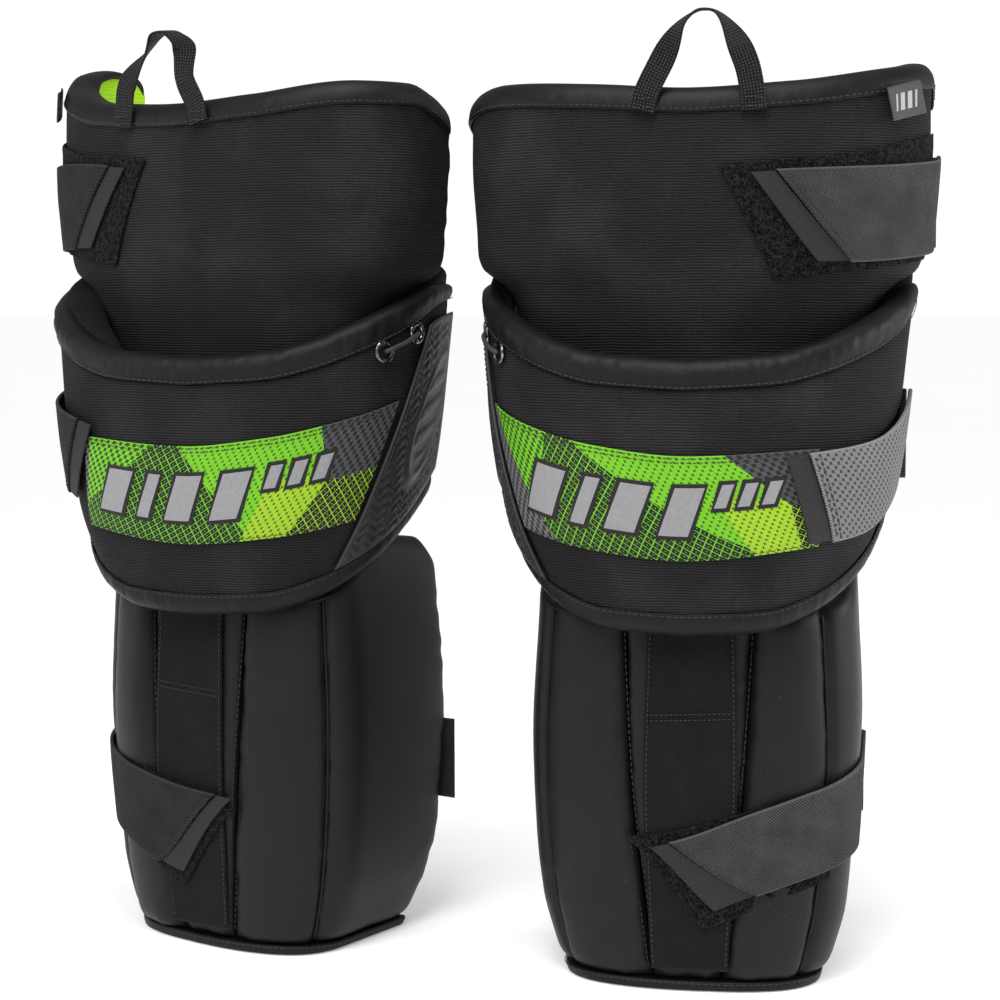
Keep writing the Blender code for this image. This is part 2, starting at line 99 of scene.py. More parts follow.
TWISTED = {"shin": "shin", "calf_strap": "shin", "calf_tab": "shin",
           "thigh": "thigh", "loop": "thigh", "thigh_strap": "thigh", "thigh_tab": "thigh"}


def smooth_curve(knots):
    """A smooth curve through (x, y) knots that never overshoots them."""
    x, y = np.array(knots, float).T
    step = np.diff(x)
    slope = np.diff(y) / step
    tangent = np.zeros(len(x))
    tangent[0], tangent[-1] = slope[0], slope[-1]
    same = slope[:-1] * slope[1:] > 0
    mean = 2 * slope[:-1] * slope[1:] / np.where(same, slope[:-1] + slope[1:], 1.0)
    tangent[1:-1] = np.where(same, mean, 0.0)

    def value(at):
        at = np.clip(at, x[0], x[-1])
        i = np.clip(np.searchsorted(x, at) - 1, 0, len(x) - 2)
        t = (at - x[i]) / step[i]
        first = (1 + 2 * t) * (1 - t) ** 2 * y[i] + t * (1 - t) ** 2 * step[i] * tangent[i]
        second = t * t * (3 - 2 * t) * y[i + 1] + t * t * (t - 1) * step[i] * tangent[i + 1]
        return first + second

    return value


def edge_curve(knots):
    """A height round the leg, the same on both sides of the front."""
    value = smooth_curve(knots)
    return lambda angle: value(np.abs(angle))


def raised(curve, rise):
    """A curve `rise` mm above another."""
    return lambda angle: curve(angle) + rise


class Guard:
    """The outer face of one guard, by angle round the leg and height."""

    def __init__(self, shape):
        self.half = smooth_curve(shape["half"])
        self.front = smooth_curve(shape["front"])
        self.square = shape["square"]

    def face(self, angle, height):
        turn = np.radians(angle)
        wide = self.half(height)
        deep = MIDDLE_Y - self.front(height)
        side, ahead = np.abs(np.sin(turn)), np.cos(turn)
        power = self.square
        before = ((side / wide) ** power + (np.maximum(ahead, 0) / deep) ** power) ** (-1 / power)
        reach = np.where(ahead > 0, before, wide / np.maximum(side, 1e-6))
        return np.stack([reach * np.sin(turn), MIDDLE_Y - reach * ahead, height + 0 * angle], -1)

    def normal(self, angle, height):
        """The level direction out of the face."""
        across = self.face(angle + 0.5, height) - self.face(angle - 0.5, height)
        normal = np.stack([across[..., 1], -across[..., 0], 0 * angle], -1)
        return normal / np.linalg.norm(normal, axis=-1, keepdims=True)

    def at(self, angle, height, out=0.0):
        """A point `out` mm outside the outer face, measured level and square to the face."""
        angle, height = np.broadcast_arrays(np.asarray(angle, float), np.asarray(height, float))
        return self.face(angle, height) + self.normal(angle, height) * np.asarray(out)[..., None]


shin, cup, thigh = Guard(SHIN), Guard(CUP), Guard(THIGH)
shin_top, cup_bottom, cup_top = edge_curve(SHIN_TOP), edge_curve(CUP_BOTTOM), edge_curve(CUP_TOP)
thigh_bottom = edge_curve(THIGH_BOTTOM)
thigh_tops = {side: smooth_curve(knots) for side, knots in THIGH_TOPS.items()}
band_low, band_high = smooth_curve(BAND_LOW), smooth_curve(BAND_HIGH)


def noise(x, y, seed):
    """Smooth noise from -1 to 1, one bump for each unit of x and y."""
    size = 61
    table = np.random.default_rng(seed).uniform(-1, 1, (size, size))
    x, y = np.broadcast_arrays(np.asarray(x, float), np.asarray(y, float))
    i, j = np.floor(x).astype(int), np.floor(y).astype(int)
    s, t = x - i, y - j
    s, t = s * s * (3 - 2 * s), t * t * (3 - 2 * t)
    i, j = i % size, j % size
    k, m = (i + 1) % size, (j + 1) % size
    low = table[i, j] * (1 - s) + table[k, j] * s
    high = table[i, m] * (1 - s) + table[k, m] * s
    return low * (1 - t) + high * t


# ---------------------------------------------------------------- materials

def arithmetic(operation, swapped=False):
    """A method of Wire that adds one math node."""
    def method(self, other):
        pair = (other, self) if swapped else (self, other)
        return self.graph.math(operation, *pair)
    return method


class Wire:
    """A number in a material's node tree, which takes arithmetic."""

    def __init__(self, graph, socket):
        self.graph, self.socket = graph, socket

    __add__ = arithmetic("ADD")
    __radd__ = arithmetic("ADD", swapped=True)
    __sub__ = arithmetic("SUBTRACT")
    __rsub__ = arithmetic("SUBTRACT", swapped=True)
    __mul__ = arithmetic("MULTIPLY")
    __gt__ = arithmetic("GREATER_THAN")
    __lt__ = arithmetic("LESS_THAN")


class Graph:
    """The node tree of one material."""

    def __init__(self, name):
        self.material = bpy.data.materials.new(name)
        self.material.use_nodes = True
        self.tree = self.material.node_tree
        self.shader = self.tree.nodes["Principled BSDF"]
        self.coordinates = None

    def node(self, kind, **settings):
        node = self.tree.nodes.new(kind)
        for key, value in settings.items():
            setattr(node, key, value)
        return node

    def plug(self, socket, value):
        if isinstance(value, Wire):
            self.tree.links.new(value.socket, socket)
        elif isinstance(value, bpy.types.NodeSocket):
            self.tree.links.new(value, socket)
        else:
            socket.default_value = value

    def math(self, operation, *values):
        node = self.node("ShaderNodeMath", operation=operation)
        for socket, value in zip(node.inputs, values):
            self.plug(socket, value)
        return Wire(self, node.outputs[0])

    def attribute(self, name):
        """The three numbers of a vector attribute of the mesh."""
        source = self.node("ShaderNodeAttribute", attribute_name=name)
        split = self.node("ShaderNodeSeparateXYZ")
        self.tree.links.new(source.outputs["Vector"], split.inputs[0])
        return [Wire(self, output) for output in split.outputs]

    def noise(self, size, detail=2.0, stretch=(1.0, 1.0, 1.0)):
        """Noise from 0 to 1 whose bumps are about `size` mm, fixed to the object."""
        if self.coordinates is None:
            self.coordinates = self.node("ShaderNodeTexCoord").outputs["Object"]
        scale = self.node("ShaderNodeMapping")
        self.tree.links.new(self.coordinates, scale.inputs["Vector"])
        scale.inputs["Scale"].default_value = stretch
        node = self.node("ShaderNodeTexNoise")
        self.tree.links.new(scale.outputs[0], node.inputs["Vector"])
        node.inputs["Scale"].default_value = 1000.0 / size
        node.inputs["Detail"].default_value = detail
        return Wire(self, node.outputs[0])

    def wave(self, value, pitch):
        """0 to 1 and back once every `pitch`."""
        turn = self.math("SINE", value * (2 * math.pi / pitch))
        return turn * 0.5 + 0.5

    def fold(self, value, pitch):
        """-0.5 to 0.5 across each `pitch`."""
        return self.math("FRACT", value * (1 / pitch)) - 0.5

    def least(self, a, b):
        return self.math("MINIMUM", a, b)

    def most(self, a, b):
        return self.math("MAXIMUM", a, b)

    def ramp(self, value, low, high):
        """0 below `low`, 1 above `high` and smooth between."""
        node = self.node("ShaderNodeMapRange", interpolation_type="SMOOTHSTEP")
        self.plug(node.inputs["Value"], value)
        node.inputs["From Min"].default_value = low
        node.inputs["From Max"].default_value = high
        return Wire(self, node.outputs[0])

    def mix(self, share, first, second):
        """A colour between two, each an RGB triple or a colour of the tree."""
        node = self.node("ShaderNodeMix", data_type="RGBA")
        self.plug(node.inputs[0], share)
        for socket, value in zip((node.inputs[6], node.inputs[7]), (first, second)):
            self.plug(socket, (*value, 1.0) if isinstance(value, tuple) else value)
        return node.outputs[2]

    def finish(self, colour, rough, height=None, specular=0.3, sheen=0.0, metallic=0.0):
        """Sets the shader. `height` is the fine relief in mm."""
        shader = self.shader.inputs
        self.plug(shader["Base Color"], (*colour, 1.0) if isinstance(colour, tuple) else colour)
        self.plug(shader["Roughness"], rough)
        shader["Metallic"].default_value = metallic
        shader["Specular IOR Level"].default_value = specular
        if sheen:
            shader["Sheen Weight"].default_value = sheen
            shader["Sheen Roughness"].default_value = 0.45
        if height is not None:
            bump = self.node("ShaderNodeBump")
            bump.inputs["Distance"].default_value = MM
            self.plug(bump.inputs["Height"], height)
            self.tree.links.new(bump.outputs[0], shader["Normal"])
        return self.material


def ribbed_knit():
    """Fine level ribs of cord, crossed by the knit's own stitches."""
    g = Graph("ribbed_knit")
    x, y, near = g.attribute("cloth")
    drift = g.noise(30.0) - 0.5
    rib = g.wave(y + drift * 1.2 + g.noise(6.0) * 0.7, 1.45)
    cross = g.wave(x + g.noise(4.0) * 0.8, 0.95)
    grain = g.noise(0.8, 4.0)
    shade = rib * 0.34 + cross * rib * 0.30 + grain * 0.95 - 0.32
    worn = g.ramp(g.noise(45.0, 4.0), 0.42, 0.7)
    dark = g.mix(worn, (0.002, 0.002, 0.0024), (0.004, 0.004, 0.0045))
    light = g.mix(worn, (0.026, 0.026, 0.028), (0.040, 0.040, 0.043))
    # Painted shade: the colour darkens within 5 mm of the panel's edges, where it meets the rims, gussets
    # and facing.
    seam = g.ramp(near, 0.5, 5.0)
    colour = g.mix(g.math("MULTIPLY", shade, seam * 0.5 + 0.5), dark, light)
    rough = grain * 0.15 + 0.72
    height = rib * 0.26 + cross * 0.08 + grain * 0.16
    return g.finish(colour, rough, height, specular=0.12)


def smooth_knit():
    """Close jersey over the rolls, with a soft gloss."""
    g = Graph("smooth_knit")
    x, y = g.attribute("cloth")[:2]
    wale = g.wave(x, 0.8)
    course = g.wave(y, 0.65)
    grain = g.noise(0.7, 3.0)
    blotch = g.noise(22.0, 3.0)
    shade = wale * course * 0.4 + grain * 0.4 + blotch * 0.4
    colour = g.mix(shade, (0.0015, 0.0015, 0.0018), (0.008, 0.008, 0.0088))
    height = wale * 0.03 + course * 0.03 + grain * 0.05 + blotch * 0.2
    return g.finish(colour, blotch * 0.25 + 0.38, height, specular=0.20)


def nylon():
    """Tight matt pack cloth over the shin foam."""
    g = Graph("nylon")
    x, y = g.attribute("cloth")[:2]
    weave = g.wave(x + y, 0.7) * g.wave(x - y, 0.7)
    grain = g.noise(0.6, 3.0)
    blotch = g.noise(35.0, 4.0)
    lint = g.ramp(g.noise(1.6, 1.0), 0.76, 0.80)
    shade = weave * 0.25 + grain * 0.3 + blotch * 0.5
    base = g.mix(shade, (0.002, 0.0017, 0.002), (0.012, 0.011, 0.012))
    colour = g.mix(lint * 0.35, base, (0.12, 0.12, 0.12))
    height = weave * 0.03 + grain * 0.04 + g.noise(9.0, 3.0) * 0.10
    return g.finish(colour, grain * 0.12 + 0.42, height, specular=0.22)


def loop_pile():
    """The fuzzy half of a touch fastener."""
    g = Graph("loop_pile")
    x, y = g.attribute("cloth")[:2]
    loops = g.noise(1.1, 5.0)
    tufts = g.noise(3.0, 3.0)
    shade = g.ramp(loops * 0.7 + tufts * 0.3, 0.38, 0.68)
    colour = g.mix(shade, (0.0015, 0.0015, 0.0018), (0.022, 0.022, 0.024))
    height = loops * 0.9 + tufts * 0.9
    return g.finish(colour, 0.95, height, specular=0.06, sheen=0.02)


def elastic(name, dark, light):
    """Woven elastic: a slanting twill between two plain selvages."""
    g = Graph(name)
    x, y = g.attribute("cloth")[:2]
    below, above = g.attribute("trim")[1:]
    slant = g.wave(x * 0.9 + y * 1.15, 1.9)
    yarn = g.wave(x * 1.2 - y * 0.8, 1.1)
    grain = g.noise(0.8, 3.0)
    fuzz = g.noise(14.0, 3.0)
    twill = slant * 0.6 + yarn * 0.25 + grain * 0.6 - 0.2
    selvage = g.ramp(g.least(below, above), 1.5, 0.7)
    base = g.mix(twill * (fuzz * 0.9 + 0.45), dark, light)
    colour = g.mix(selvage * 0.4, base, tuple(1.5 * c for c in light))
    height = slant * 0.4 + yarn * 0.12 + grain * 0.3 + selvage * 0.15
    return g.finish(colour, 0.75, height, specular=0.12)


def hook_strip():
    """The hook half of a touch fastener: rows of fine stiff hooks."""
    g = Graph("hook_strip")
    x, y = g.attribute("cloth")[:2]
    rows = g.wave(x, 1.0) * g.wave(y, 0.9)
    grain = g.noise(0.7, 4.0)
    colour = g.mix(rows * 0.5 + grain * 0.5, (0.006, 0.006, 0.0065), (0.040, 0.040, 0.043))
    return g.finish(colour, 0.6, rows * 0.3 + grain * 0.25, specular=0.25)


def webbing():
    """Coarse basket-woven webbing."""
    g = Graph("webbing")
    x, y = g.attribute("cloth")[:2]
    over = g.wave(x + y, 3.2) * g.wave(x - y, 3.2)
    under = g.wave(x + y + 1.6, 3.2) * g.wave(x - y + 1.6, 3.2)
    yarns = g.most(over, under)
    grain = g.noise(0.5, 3.0)
    glint = g.ramp(yarns * 0.75 + grain * 0.5, 0.70, 1.0)
    colour = g.mix(glint, (0.001, 0.001, 0.001), (0.060, 0.060, 0.062))
    return g.finish(colour, 0.5, yarns * 0.9 + grain * 0.15, specular=0.22)


def lining(name, dark, light):
    """Brushed knit mesh over soft foam, on the inside of a guard."""
    g = Graph(name)
    x, y = g.attribute("cloth")[:2]
    cells = g.wave(x, 2.2) * g.wave(y, 2.2)
    rows = g.wave(x + y, 1.1)
    grain = g.noise(0.9, 3.0)
    blotch = g.noise(40.0, 3.0)
    shade = cells * 0.4 + rows * 0.15 + grain * 0.25 + blotch * 0.3
    colour = g.mix(shade, dark, light)
    return g.finish(colour, 0.85, cells * 0.25 + grain * 0.15, specular=0.15, sheen=0.12)


def plus_marks(g, x, y, pitch, arm, half):
    """Small crosses in staggered rows: 1 on a cross and 0 beside it."""
    u = g.math("ABSOLUTE", g.fold(x + y, pitch))
    v = g.math("ABSOLUTE", g.fold(x - y, pitch))
    return (g.least(u, v) < half) * (g.most(u, v) < arm)


def printed_band():
    """Green mesh with a sublimated print: fields of crosses and lattice in slanting shapes.

    On the band x runs from 0 to BAND_LONG and y from 0 to BAND_TALL.
    """
    g = Graph("printed_band")
    x, y = g.attribute("print")[:2]
    lime, yellow = (0.150, 0.470, 0.006), (0.300, 0.500, 0.010)
    deep, black = (0.012, 0.045, 0.010), (0.006, 0.010, 0.006)
    grey, ash = (0.060, 0.060, 0.068), (0.13, 0.13, 0.14)
    fine = plus_marks(g, x, y, 3.9, 0.30, 0.075)
    bold = plus_marks(g, x, y, 4.6, 0.38, 0.16)
    u = g.math("ABSOLUTE", g.fold(x * 0.94 + y, 4.7))
    v = g.math("ABSOLUTE", g.fold(x * 0.94 - y, 4.7))
    lattice = g.most(u > 0.435, v > 0.435)
    dot = (u * u + v * v) < 0.006
    drop = BAND_TALL - y

    field = g.mix(fine, lime, deep)
    left = g.mix(bold, lime, deep)
    colour = g.mix(x < 62.0 + y * 0.1, field, left)
    tall = (x > 50.0 - drop * 0.72) * (x < 64.0 + drop * 1.35)
    mesh = g.mix(g.most(lattice, dot), black, lime)
    colour = g.mix(tall, colour, mesh)
    low = (x > 128.0) * (y < 30.0 - (x - 128.0) * 0.10)
    colour = g.mix(low, colour, g.mix(fine, yellow, deep))
    corner = (x > 152.0 + y * 0.35) * (y < 27.0)
    mesh = g.mix(g.most(lattice, dot), black, yellow)
    colour = g.mix(corner, colour, mesh)
    top = (x > 143.0 + drop * 0.62) * (y > 24.0)
    colour = g.mix(top, colour, g.mix(bold, grey, black))
    end = (x + y * 0.42) < 27.0
    colour = g.mix(end, colour, g.mix(bold, ash, black))
    thread = g.wave(x + y, 0.8) * g.wave(x - y, 0.8)
    grain = g.noise(0.6, 3.0)
    rough = grain * 0.2 + 0.45
    holes = g.most(fine, bold) * -0.15
    return g.finish(colour, rough, thread * 0.08 + grain * 0.05 + holes, specular=0.3)


def perforated():
    """Light grey microfibre with rows of small punched crosses and a pale overlocked edge."""
    g = Graph("grey_tab")
    x, y, near = g.attribute("cloth")
    marks = plus_marks(g, x, y, 4.2, 0.33, 0.11)
    grain = g.noise(1.2, 3.0)
    blotch = g.noise(25.0, 3.0)
    base = g.mix(grain * 0.6 + blotch * 0.4, (0.085, 0.085, 0.09), (0.19, 0.19, 0.20))
    colour = g.mix(marks, base, (0.018, 0.018, 0.02))
    edge = g.ramp(near, 1.3, 0.8)
    whip = g.wave(x + y, 1.5)
    colour = g.mix(edge, colour, g.mix(whip, (0.06, 0.06, 0.065), (0.34, 0.34, 0.36)))
    height = marks * -0.5 + grain * 0.08 + edge * whip * 0.3
    return g.finish(colour, 0.62, height, specular=0.3)


def rubber():
    """Moulded rubber with a fine leathery skin."""
    g = Graph("rubber")
    skin = g.noise(1.4, 4.0)
    blotch = g.noise(18.0, 3.0)
    colour = g.mix(skin * 0.4 + blotch * 0.6, (0.007, 0.007, 0.008), (0.028, 0.028, 0.031))
    return g.finish(colour, blotch * 0.22 + 0.36, skin * 0.12, specular=0.45)


def moulded_plastic():
    """Fine-grained moulded sheet, a little scuffed."""
    g = Graph("plate_plastic")
    grain = g.noise(0.8, 3.0)
    scuffs = g.ramp(g.noise(12.0, 5.0), 0.55, 0.62)
    colour = g.mix(grain * 0.5 + scuffs * 0.4, (0.50, 0.51, 0.52), (0.68, 0.69, 0.70))
    return g.finish(colour, scuffs * 0.15 + 0.36, grain * 0.05, specular=0.5)


def dark_steel():
    """Blackened steel, rubbed brighter on its high spots."""
    g = Graph("dark_steel")
    rubbed = g.ramp(g.noise(2.5, 3.0), 0.45, 0.7)
    colour = g.mix(rubbed, (0.10, 0.10, 0.105), (0.42, 0.42, 0.43))
    return g.finish(colour, rubbed * 0.15 + 0.2, g.noise(0.6) * 0.02, metallic=1.0)


def braided_cord():
    """A braided lace."""
    g = Graph("cord")
    x, y = g.attribute("cloth")[:2]
    braid = g.most(g.wave(x + y, 1.6), g.wave(x - y, 1.6))
    colour = g.mix(braid, (0.004, 0.004, 0.004), (0.045, 0.045, 0.047))
    return g.finish(colour, 0.5, braid * 0.2, specular=0.35)


def woven_tag():
    """A small woven label with plain slanting bars."""
    g = Graph("tag_knit")
    x, y = g.attribute("cloth")[:2]
    weave = g.wave(x, 0.7) * g.wave(y, 0.7)
    lean = x - y * 0.25
    stripes = (g.math("ABSOLUTE", g.fold(lean, 5.0)) < 0.30) * (g.math("ABSOLUTE", y) < 4.2)
    stripes = stripes * (g.math("ABSOLUTE", lean) < 7.3)
    base = g.mix(weave, (0.035, 0.035, 0.038), (0.075, 0.075, 0.08))
    pale = g.mix(weave, (0.30, 0.30, 0.31), (0.48, 0.48, 0.49))
    colour = g.mix(stripes, base, pale)
    return g.finish(colour, 0.6, weave * 0.1 + stripes * 0.1, specular=0.3)


def thread(name, dark, light):
    """Twisted sewing thread."""
    g = Graph(name)
    twist = g.noise(0.5, 2.0)
    colour = g.mix(twist, dark, light)
    return g.finish(colour, 0.55, twist * 0.1, specular=0.35)


def printed_bar():
    """The silver-grey transfer of the plain slanting bars."""
    g = Graph("printed_bar")
    grain = g.noise(0.6, 3.0)
    mesh = g.noise(2.2, 2.0)
    colour = g.mix(grain * 0.5 + mesh * 0.5, (0.17, 0.17, 0.18), (0.31, 0.31, 0.32))
    return g.finish(colour, 0.42, grain * 0.08, specular=0.35)


MATERIALS = {
    "ribbed_knit": ribbed_knit(),
    "smooth_knit": smooth_knit(),
    "nylon": nylon(),
    "loop_pile": loop_pile(),
    "elastic": elastic("elastic", (0.001, 0.001, 0.0012), (0.095, 0.095, 0.10)),
    # A darker copy of the same elastic, for the left pad's straps and tabs.
    "darker_elastic": elastic("darker_elastic", (0.0008, 0.0008, 0.001), (0.042, 0.042, 0.045)),
    "front_elastic": elastic("front_elastic", (0.001, 0.001, 0.0012), (0.018, 0.0172, 0.018)),
    "hook": hook_strip(),
    "webbing": webbing(),
    "green_liner": lining("green_liner", (0.22, 0.50, 0.01), (0.55, 0.86, 0.03)),
    "foam": lining("foam", (0.035, 0.035, 0.040), (0.11, 0.11, 0.12)),
    "green_band": printed_band(),
    "grey_tab": perforated(),
    "rubber": rubber(),
    "plate_plastic": moulded_plastic(),
    "dark_steel": dark_steel(),
    "cord": braided_cord(),
    "tag_knit": woven_tag(),
    "thread": thread("thread", (0.006, 0.006, 0.006), (0.050, 0.050, 0.052)),
    "bar_print": printed_bar(),
    "bar_edge": thread("bar_edge", (0.003, 0.003, 0.003), (0.010, 0.010, 0.010)),
}


# ---------------------------------------------------------------- building meshes

class Pad:
    """Puts the pieces of one pad in place, on the bodies of the frame."""

    def __init__(self, side, mirror, at, yaw, twists, shin_shift):
        self.side, self.mirror, self.at, self.yaw = side, mirror, at, yaw
        self.twists, self.shift = twists, shin_shift
        self.sag = -6.0 if mirror > 0 else 4.0
        self.seams = {}

    def world(self, points, body):
        points = np.array(points, float)
        points[:, 0] *= self.mirror
        if body in TWISTED:
            points = turned(points, self.twists[TWISTED[body]], MIDDLE_Y)
            if TWISTED[body] == "shin":
                points[:, 0] += self.shift
        points = turned(points, self.yaw, 0.0)
        points[:, 0] += self.at[0]
        points[:, 1] += self.at[1]
        return points * MM

    def add(self, name, body, material, mesh, fill=None):
        """Makes one piece from (points, faces, attributes) and rides it on a body.

        A piece with the name of a CAD solid stands in for that solid.
        """
        points, faces, attributes = mesh
        points = self.world(points, body)
        if signed_volume(points, faces) < 0:
            faces = [block[:, ::-1] for block in faces]
        full_name = f"{self.side}_{name}"
        data = bpy.data.meshes.new(full_name)
        data.from_pydata(points.tolist(), [], [f for block in faces for f in block.tolist()])
        for key, values in attributes.items():
            layer = data.attributes.new(key, "FLOAT_VECTOR", "POINT")
            layer.data.foreach_set("vector", np.asarray(values, np.float32).ravel())
        data.materials.append(MATERIALS[material])
        data.shade_smooth()
        data.set_sharp_from_angle(angle=math.radians(70))
        piece = bpy.data.objects.new(full_name, data)
        bpy.context.collection.objects.link(piece)
        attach(piece, f"{self.side}_{body}")
        if full_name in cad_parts:
            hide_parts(full_name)
        return piece

    def sew(self, body, path, normals, material="thread", length=2.5, gap=0.9, radius=0.3):
        """Keeps a row of stitches for this body's seam piece."""
        self.seams.setdefault((body, material), []).append(
            stitches(path, normals, length, gap, radius))

    def add_seams(self):
        for (body, material), rows in self.seams.items():
            self.add(f"{body}_{material}", body, material, joined(rows))


def turned(points, degrees, middle):
    """Points turned about an upright line at (0, middle)."""
    turn = math.radians(degrees)
    x, y = points[:, 0].copy(), points[:, 1] - middle
    points[:, 0] = x * math.cos(turn) - y * math.sin(turn)
    points[:, 1] = x * math.sin(turn) + y * math.cos(turn) + middle
    return points


def signed_volume(points, faces):
    """Positive when the faces of a closed mesh point outwards."""
    total = 0.0
    for block in faces:
        first = points[block[:, 0]]
        for k in range(1, block.shape[1] - 1):
            second, third = points[block[:, k]], points[block[:, k + 1]]
            total += float((first * np.cross(second, third)).sum())
    return total


def joined(meshes):
    """Several meshes as one."""
    points, faces, count = [], [], 0
    keys = meshes[0][2].keys()
    for some, blocks, attributes in meshes:
        points.append(some)
        faces += [block + count for block in blocks]
        count += len(some)
    attributes = {key: np.concatenate([m[2][key] for m in meshes]) for key in keys}
    return np.concatenate(points), faces, attributes


def slab_faces(rows, columns):
    """The faces of a closed sheet: an outer grid of points, then an inner one."""
    i, j = np.meshgrid(np.arange(rows - 1), np.arange(columns - 1), indexing="ij")
    a = (i * columns + j).ravel()
    front = np.stack([a, a + 1, a + 1 + columns, a + columns], -1)
    count = rows * columns
    ring = list(range(columns))
    ring += [k * columns + columns - 1 for k in range(1, rows)]
    ring += [(rows - 1) * columns + k for k in range(columns - 2, -1, -1)]
    ring += [k * columns for k in range(rows - 2, 0, -1)]
    ring = np.array(ring)
    after = np.roll(ring, -1)
    wall = np.stack([ring, ring + count, after + count, after], -1)
    return [front, front[:, ::-1] + count, wall]


def stations(length, step, edge):
    """Places from 0 to 1 along a length, close together near both ends."""
    near = np.array([0.0, 0.06, 0.2, 0.42, 0.7, 1.0]) * edge
    if length < 2.4 * edge:
        return np.linspace(0, 1, 13)
    middle = np.linspace(edge, length - edge, max(2, int((length - 2 * edge) / step) + 1))
    return np.concatenate([near[:-1], middle, (length - near[:-1])[::-1]]) / length


def running(points, axis):
    """Distance walked along one axis of a grid of points."""
    step = np.linalg.norm(np.diff(points, axis=axis), axis=-1)
    start = np.zeros_like(np.take(step, [0], axis))
    return np.concatenate([start, np.cumsum(step, axis)], axis)


def rounded(distance, edge):
    """0 at an edge, rising in a quarter circle to 1 at `edge` mm from it."""
    return np.sqrt(np.clip(1 - (1 - np.clip(distance / edge, 0, 1)) ** 2, 0, 1))


class Spot:
    """Where the points of a sheet lie: angles, heights and distances from its edges, in mm."""

    def __init__(self, face, angle, height):
        self.angle, self.height = angle, height
        self.left = running(face, 1)
        self.right = self.left[:, -1:] - self.left
        self.below = running(face, 0)
        self.above = self.below[-1:] - self.below
        self.side = np.minimum(self.left, self.right)
        self.ends = np.minimum(self.below, self.above)
        self.near = np.minimum(self.side, self.ends)
        zero = np.array([np.interp(0.0, a, d) for a, d in zip(angle, self.left)])[:, None]
        self.along = self.left - zero


def quilt(face, normal, spot, inner, outer, edge, lip, relief=None, under=None):
    """A closed sheet of cloth or padding with rounded edges, as a mesh."""
    full = rounded(spot.left, edge) * rounded(spot.right, edge)
    full = full * rounded(spot.below, edge) * rounded(spot.above, edge)
    full = lip + (1 - lip) * full
    middle = (inner + outer) / 2
    front = middle + (outer - middle) * full
    back = middle + (inner - middle) * full
    if relief is not None:
        front = front + relief(spot)
    if under is not None:
        back = back + under(spot)
    rows, columns = spot.left.shape
    points = np.concatenate([(face + normal * np.asarray(out)[..., None]).reshape(-1, 3)
                             for out in (front, back)])
    cloth = np.stack([spot.along, spot.height, spot.near], -1).reshape(-1, 3)
    trim = np.stack([spot.left, spot.below, spot.above], -1).reshape(-1, 3)
    attributes = {"cloth": np.concatenate([cloth, cloth]), "trim": np.concatenate([trim, trim])}
    return points, slab_faces(rows, columns), attributes


def height_at(edge, angle):
    """The height of an edge, which is one number or a curve by angle."""
    return edge(angle) if callable(edge) else edge + 0 * angle


def grid_on(guard, start, end, low, high, step, edge):
    """A grid of angles and heights over part of a guard, closer together at its edges."""
    start = start if isinstance(start, tuple) else (start, start)
    end = end if isinstance(end, tuple) else (end, end)
    middle = np.linspace(sum(start) / 2, sum(end) / 2, 60)
    bottom, top = height_at(low, middle), height_at(high, middle)
    width = running(guard.face(middle, (bottom + top) / 2)[None], 1)[0, -1]
    tall = float(np.mean(top - bottom))
    across, up = np.meshgrid(stations(width, step, edge), stations(tall, step, edge))
    first = start[0] + (start[1] - start[0]) * up
    last = end[0] + (end[1] - end[0]) * up
    angle = first + (last - first) * across
    bottom, top = height_at(low, angle), height_at(high, angle)
    return angle, bottom + (top - bottom) * up


def panel(guard, start, end, low, high, layer, step=2.2, edge=4.0, lip=0.2, relief=None, under=None):
    """Part of a guard's layer as padded cloth. `layer` is (inner, outer), or gives them by angle."""
    angle, height = grid_on(guard, start, end, low, high, step, edge)
    inner, outer = layer(angle) if callable(layer) else layer
    face = guard.face(angle, height)
    return quilt(face, guard.normal(angle, height), Spot(face, angle, height),
                 inner, outer, edge, lip, relief, under)


def tube(rings, dome=(0.25, 0.6, 0.85, 0.96), closed=False):
    """A closed solid through rings of points, of shape (steps, size, 3)."""
    rings = np.array(rings, float)
    steps, size = rings.shape[:2]
    if not closed:
        for k, share in enumerate(dome):
            for i in (k, steps - 1 - k):
                middle = rings[i].mean(0)
                rings[i] = middle + (rings[i] - middle) * share
    i, j = np.meshgrid(np.arange(steps if closed else steps - 1), np.arange(size), indexing="ij")
    i, j = i.ravel(), j.ravel()
    k, m = (i + 1) % steps, (j + 1) % size
    faces = [np.stack([i * size + j, i * size + m, k * size + m, k * size + j], -1)]
    if not closed:
        faces.append(np.arange(size)[None, ::-1])
        faces.append((np.arange(size) + (steps - 1) * size)[None])
    along = running(rings, 0).mean(1)[:, None] + np.zeros((1, size))
    round_it = running(np.concatenate([rings, rings[:, :1]], 1), 1)[:, :-1]
    cloth = np.stack([along, round_it, 9.0 + 0 * along], -1).reshape(-1, 3)
    return rings.reshape(-1, 3), faces, {"cloth": cloth, "trim": cloth}


def between_knots(a, b, c, d, t):
    """A point of the smooth curve through four knots, from b at t = 0 to c at t = 1."""
    return 0.5 * (2 * b + (c - a) * t + (2 * a - 5 * b + 4 * c - d) * t ** 2
                  + (3 * b - a - 3 * c + d) * t ** 3)


def loop_curve(knots, count):
    """A smooth closed curve through (x, y) knots, as `count` points."""
    knots = np.array(knots, float)
    size = len(knots)
    at = np.linspace(0, size, count, endpoint=False)
    i = at.astype(int)
    t = (at - i)[:, None]
    return between_knots(*(knots[(i + k) % size] for k in (-1, 0, 1, 2)), t)


def beside(guard, edge, angle, distance):
    """The height of a line that runs `distance` mm above an edge, square to the edge."""
    before = guard.at(angle - 1.0, edge(angle - 1.0))
    after = guard.at(angle + 1.0, edge(angle + 1.0))
    run = np.linalg.norm((after - before)[..., :2], axis=-1)
    slope = (after - before)[..., 2] / run
    return edge(angle) + distance * np.sqrt(1 + slope ** 2)


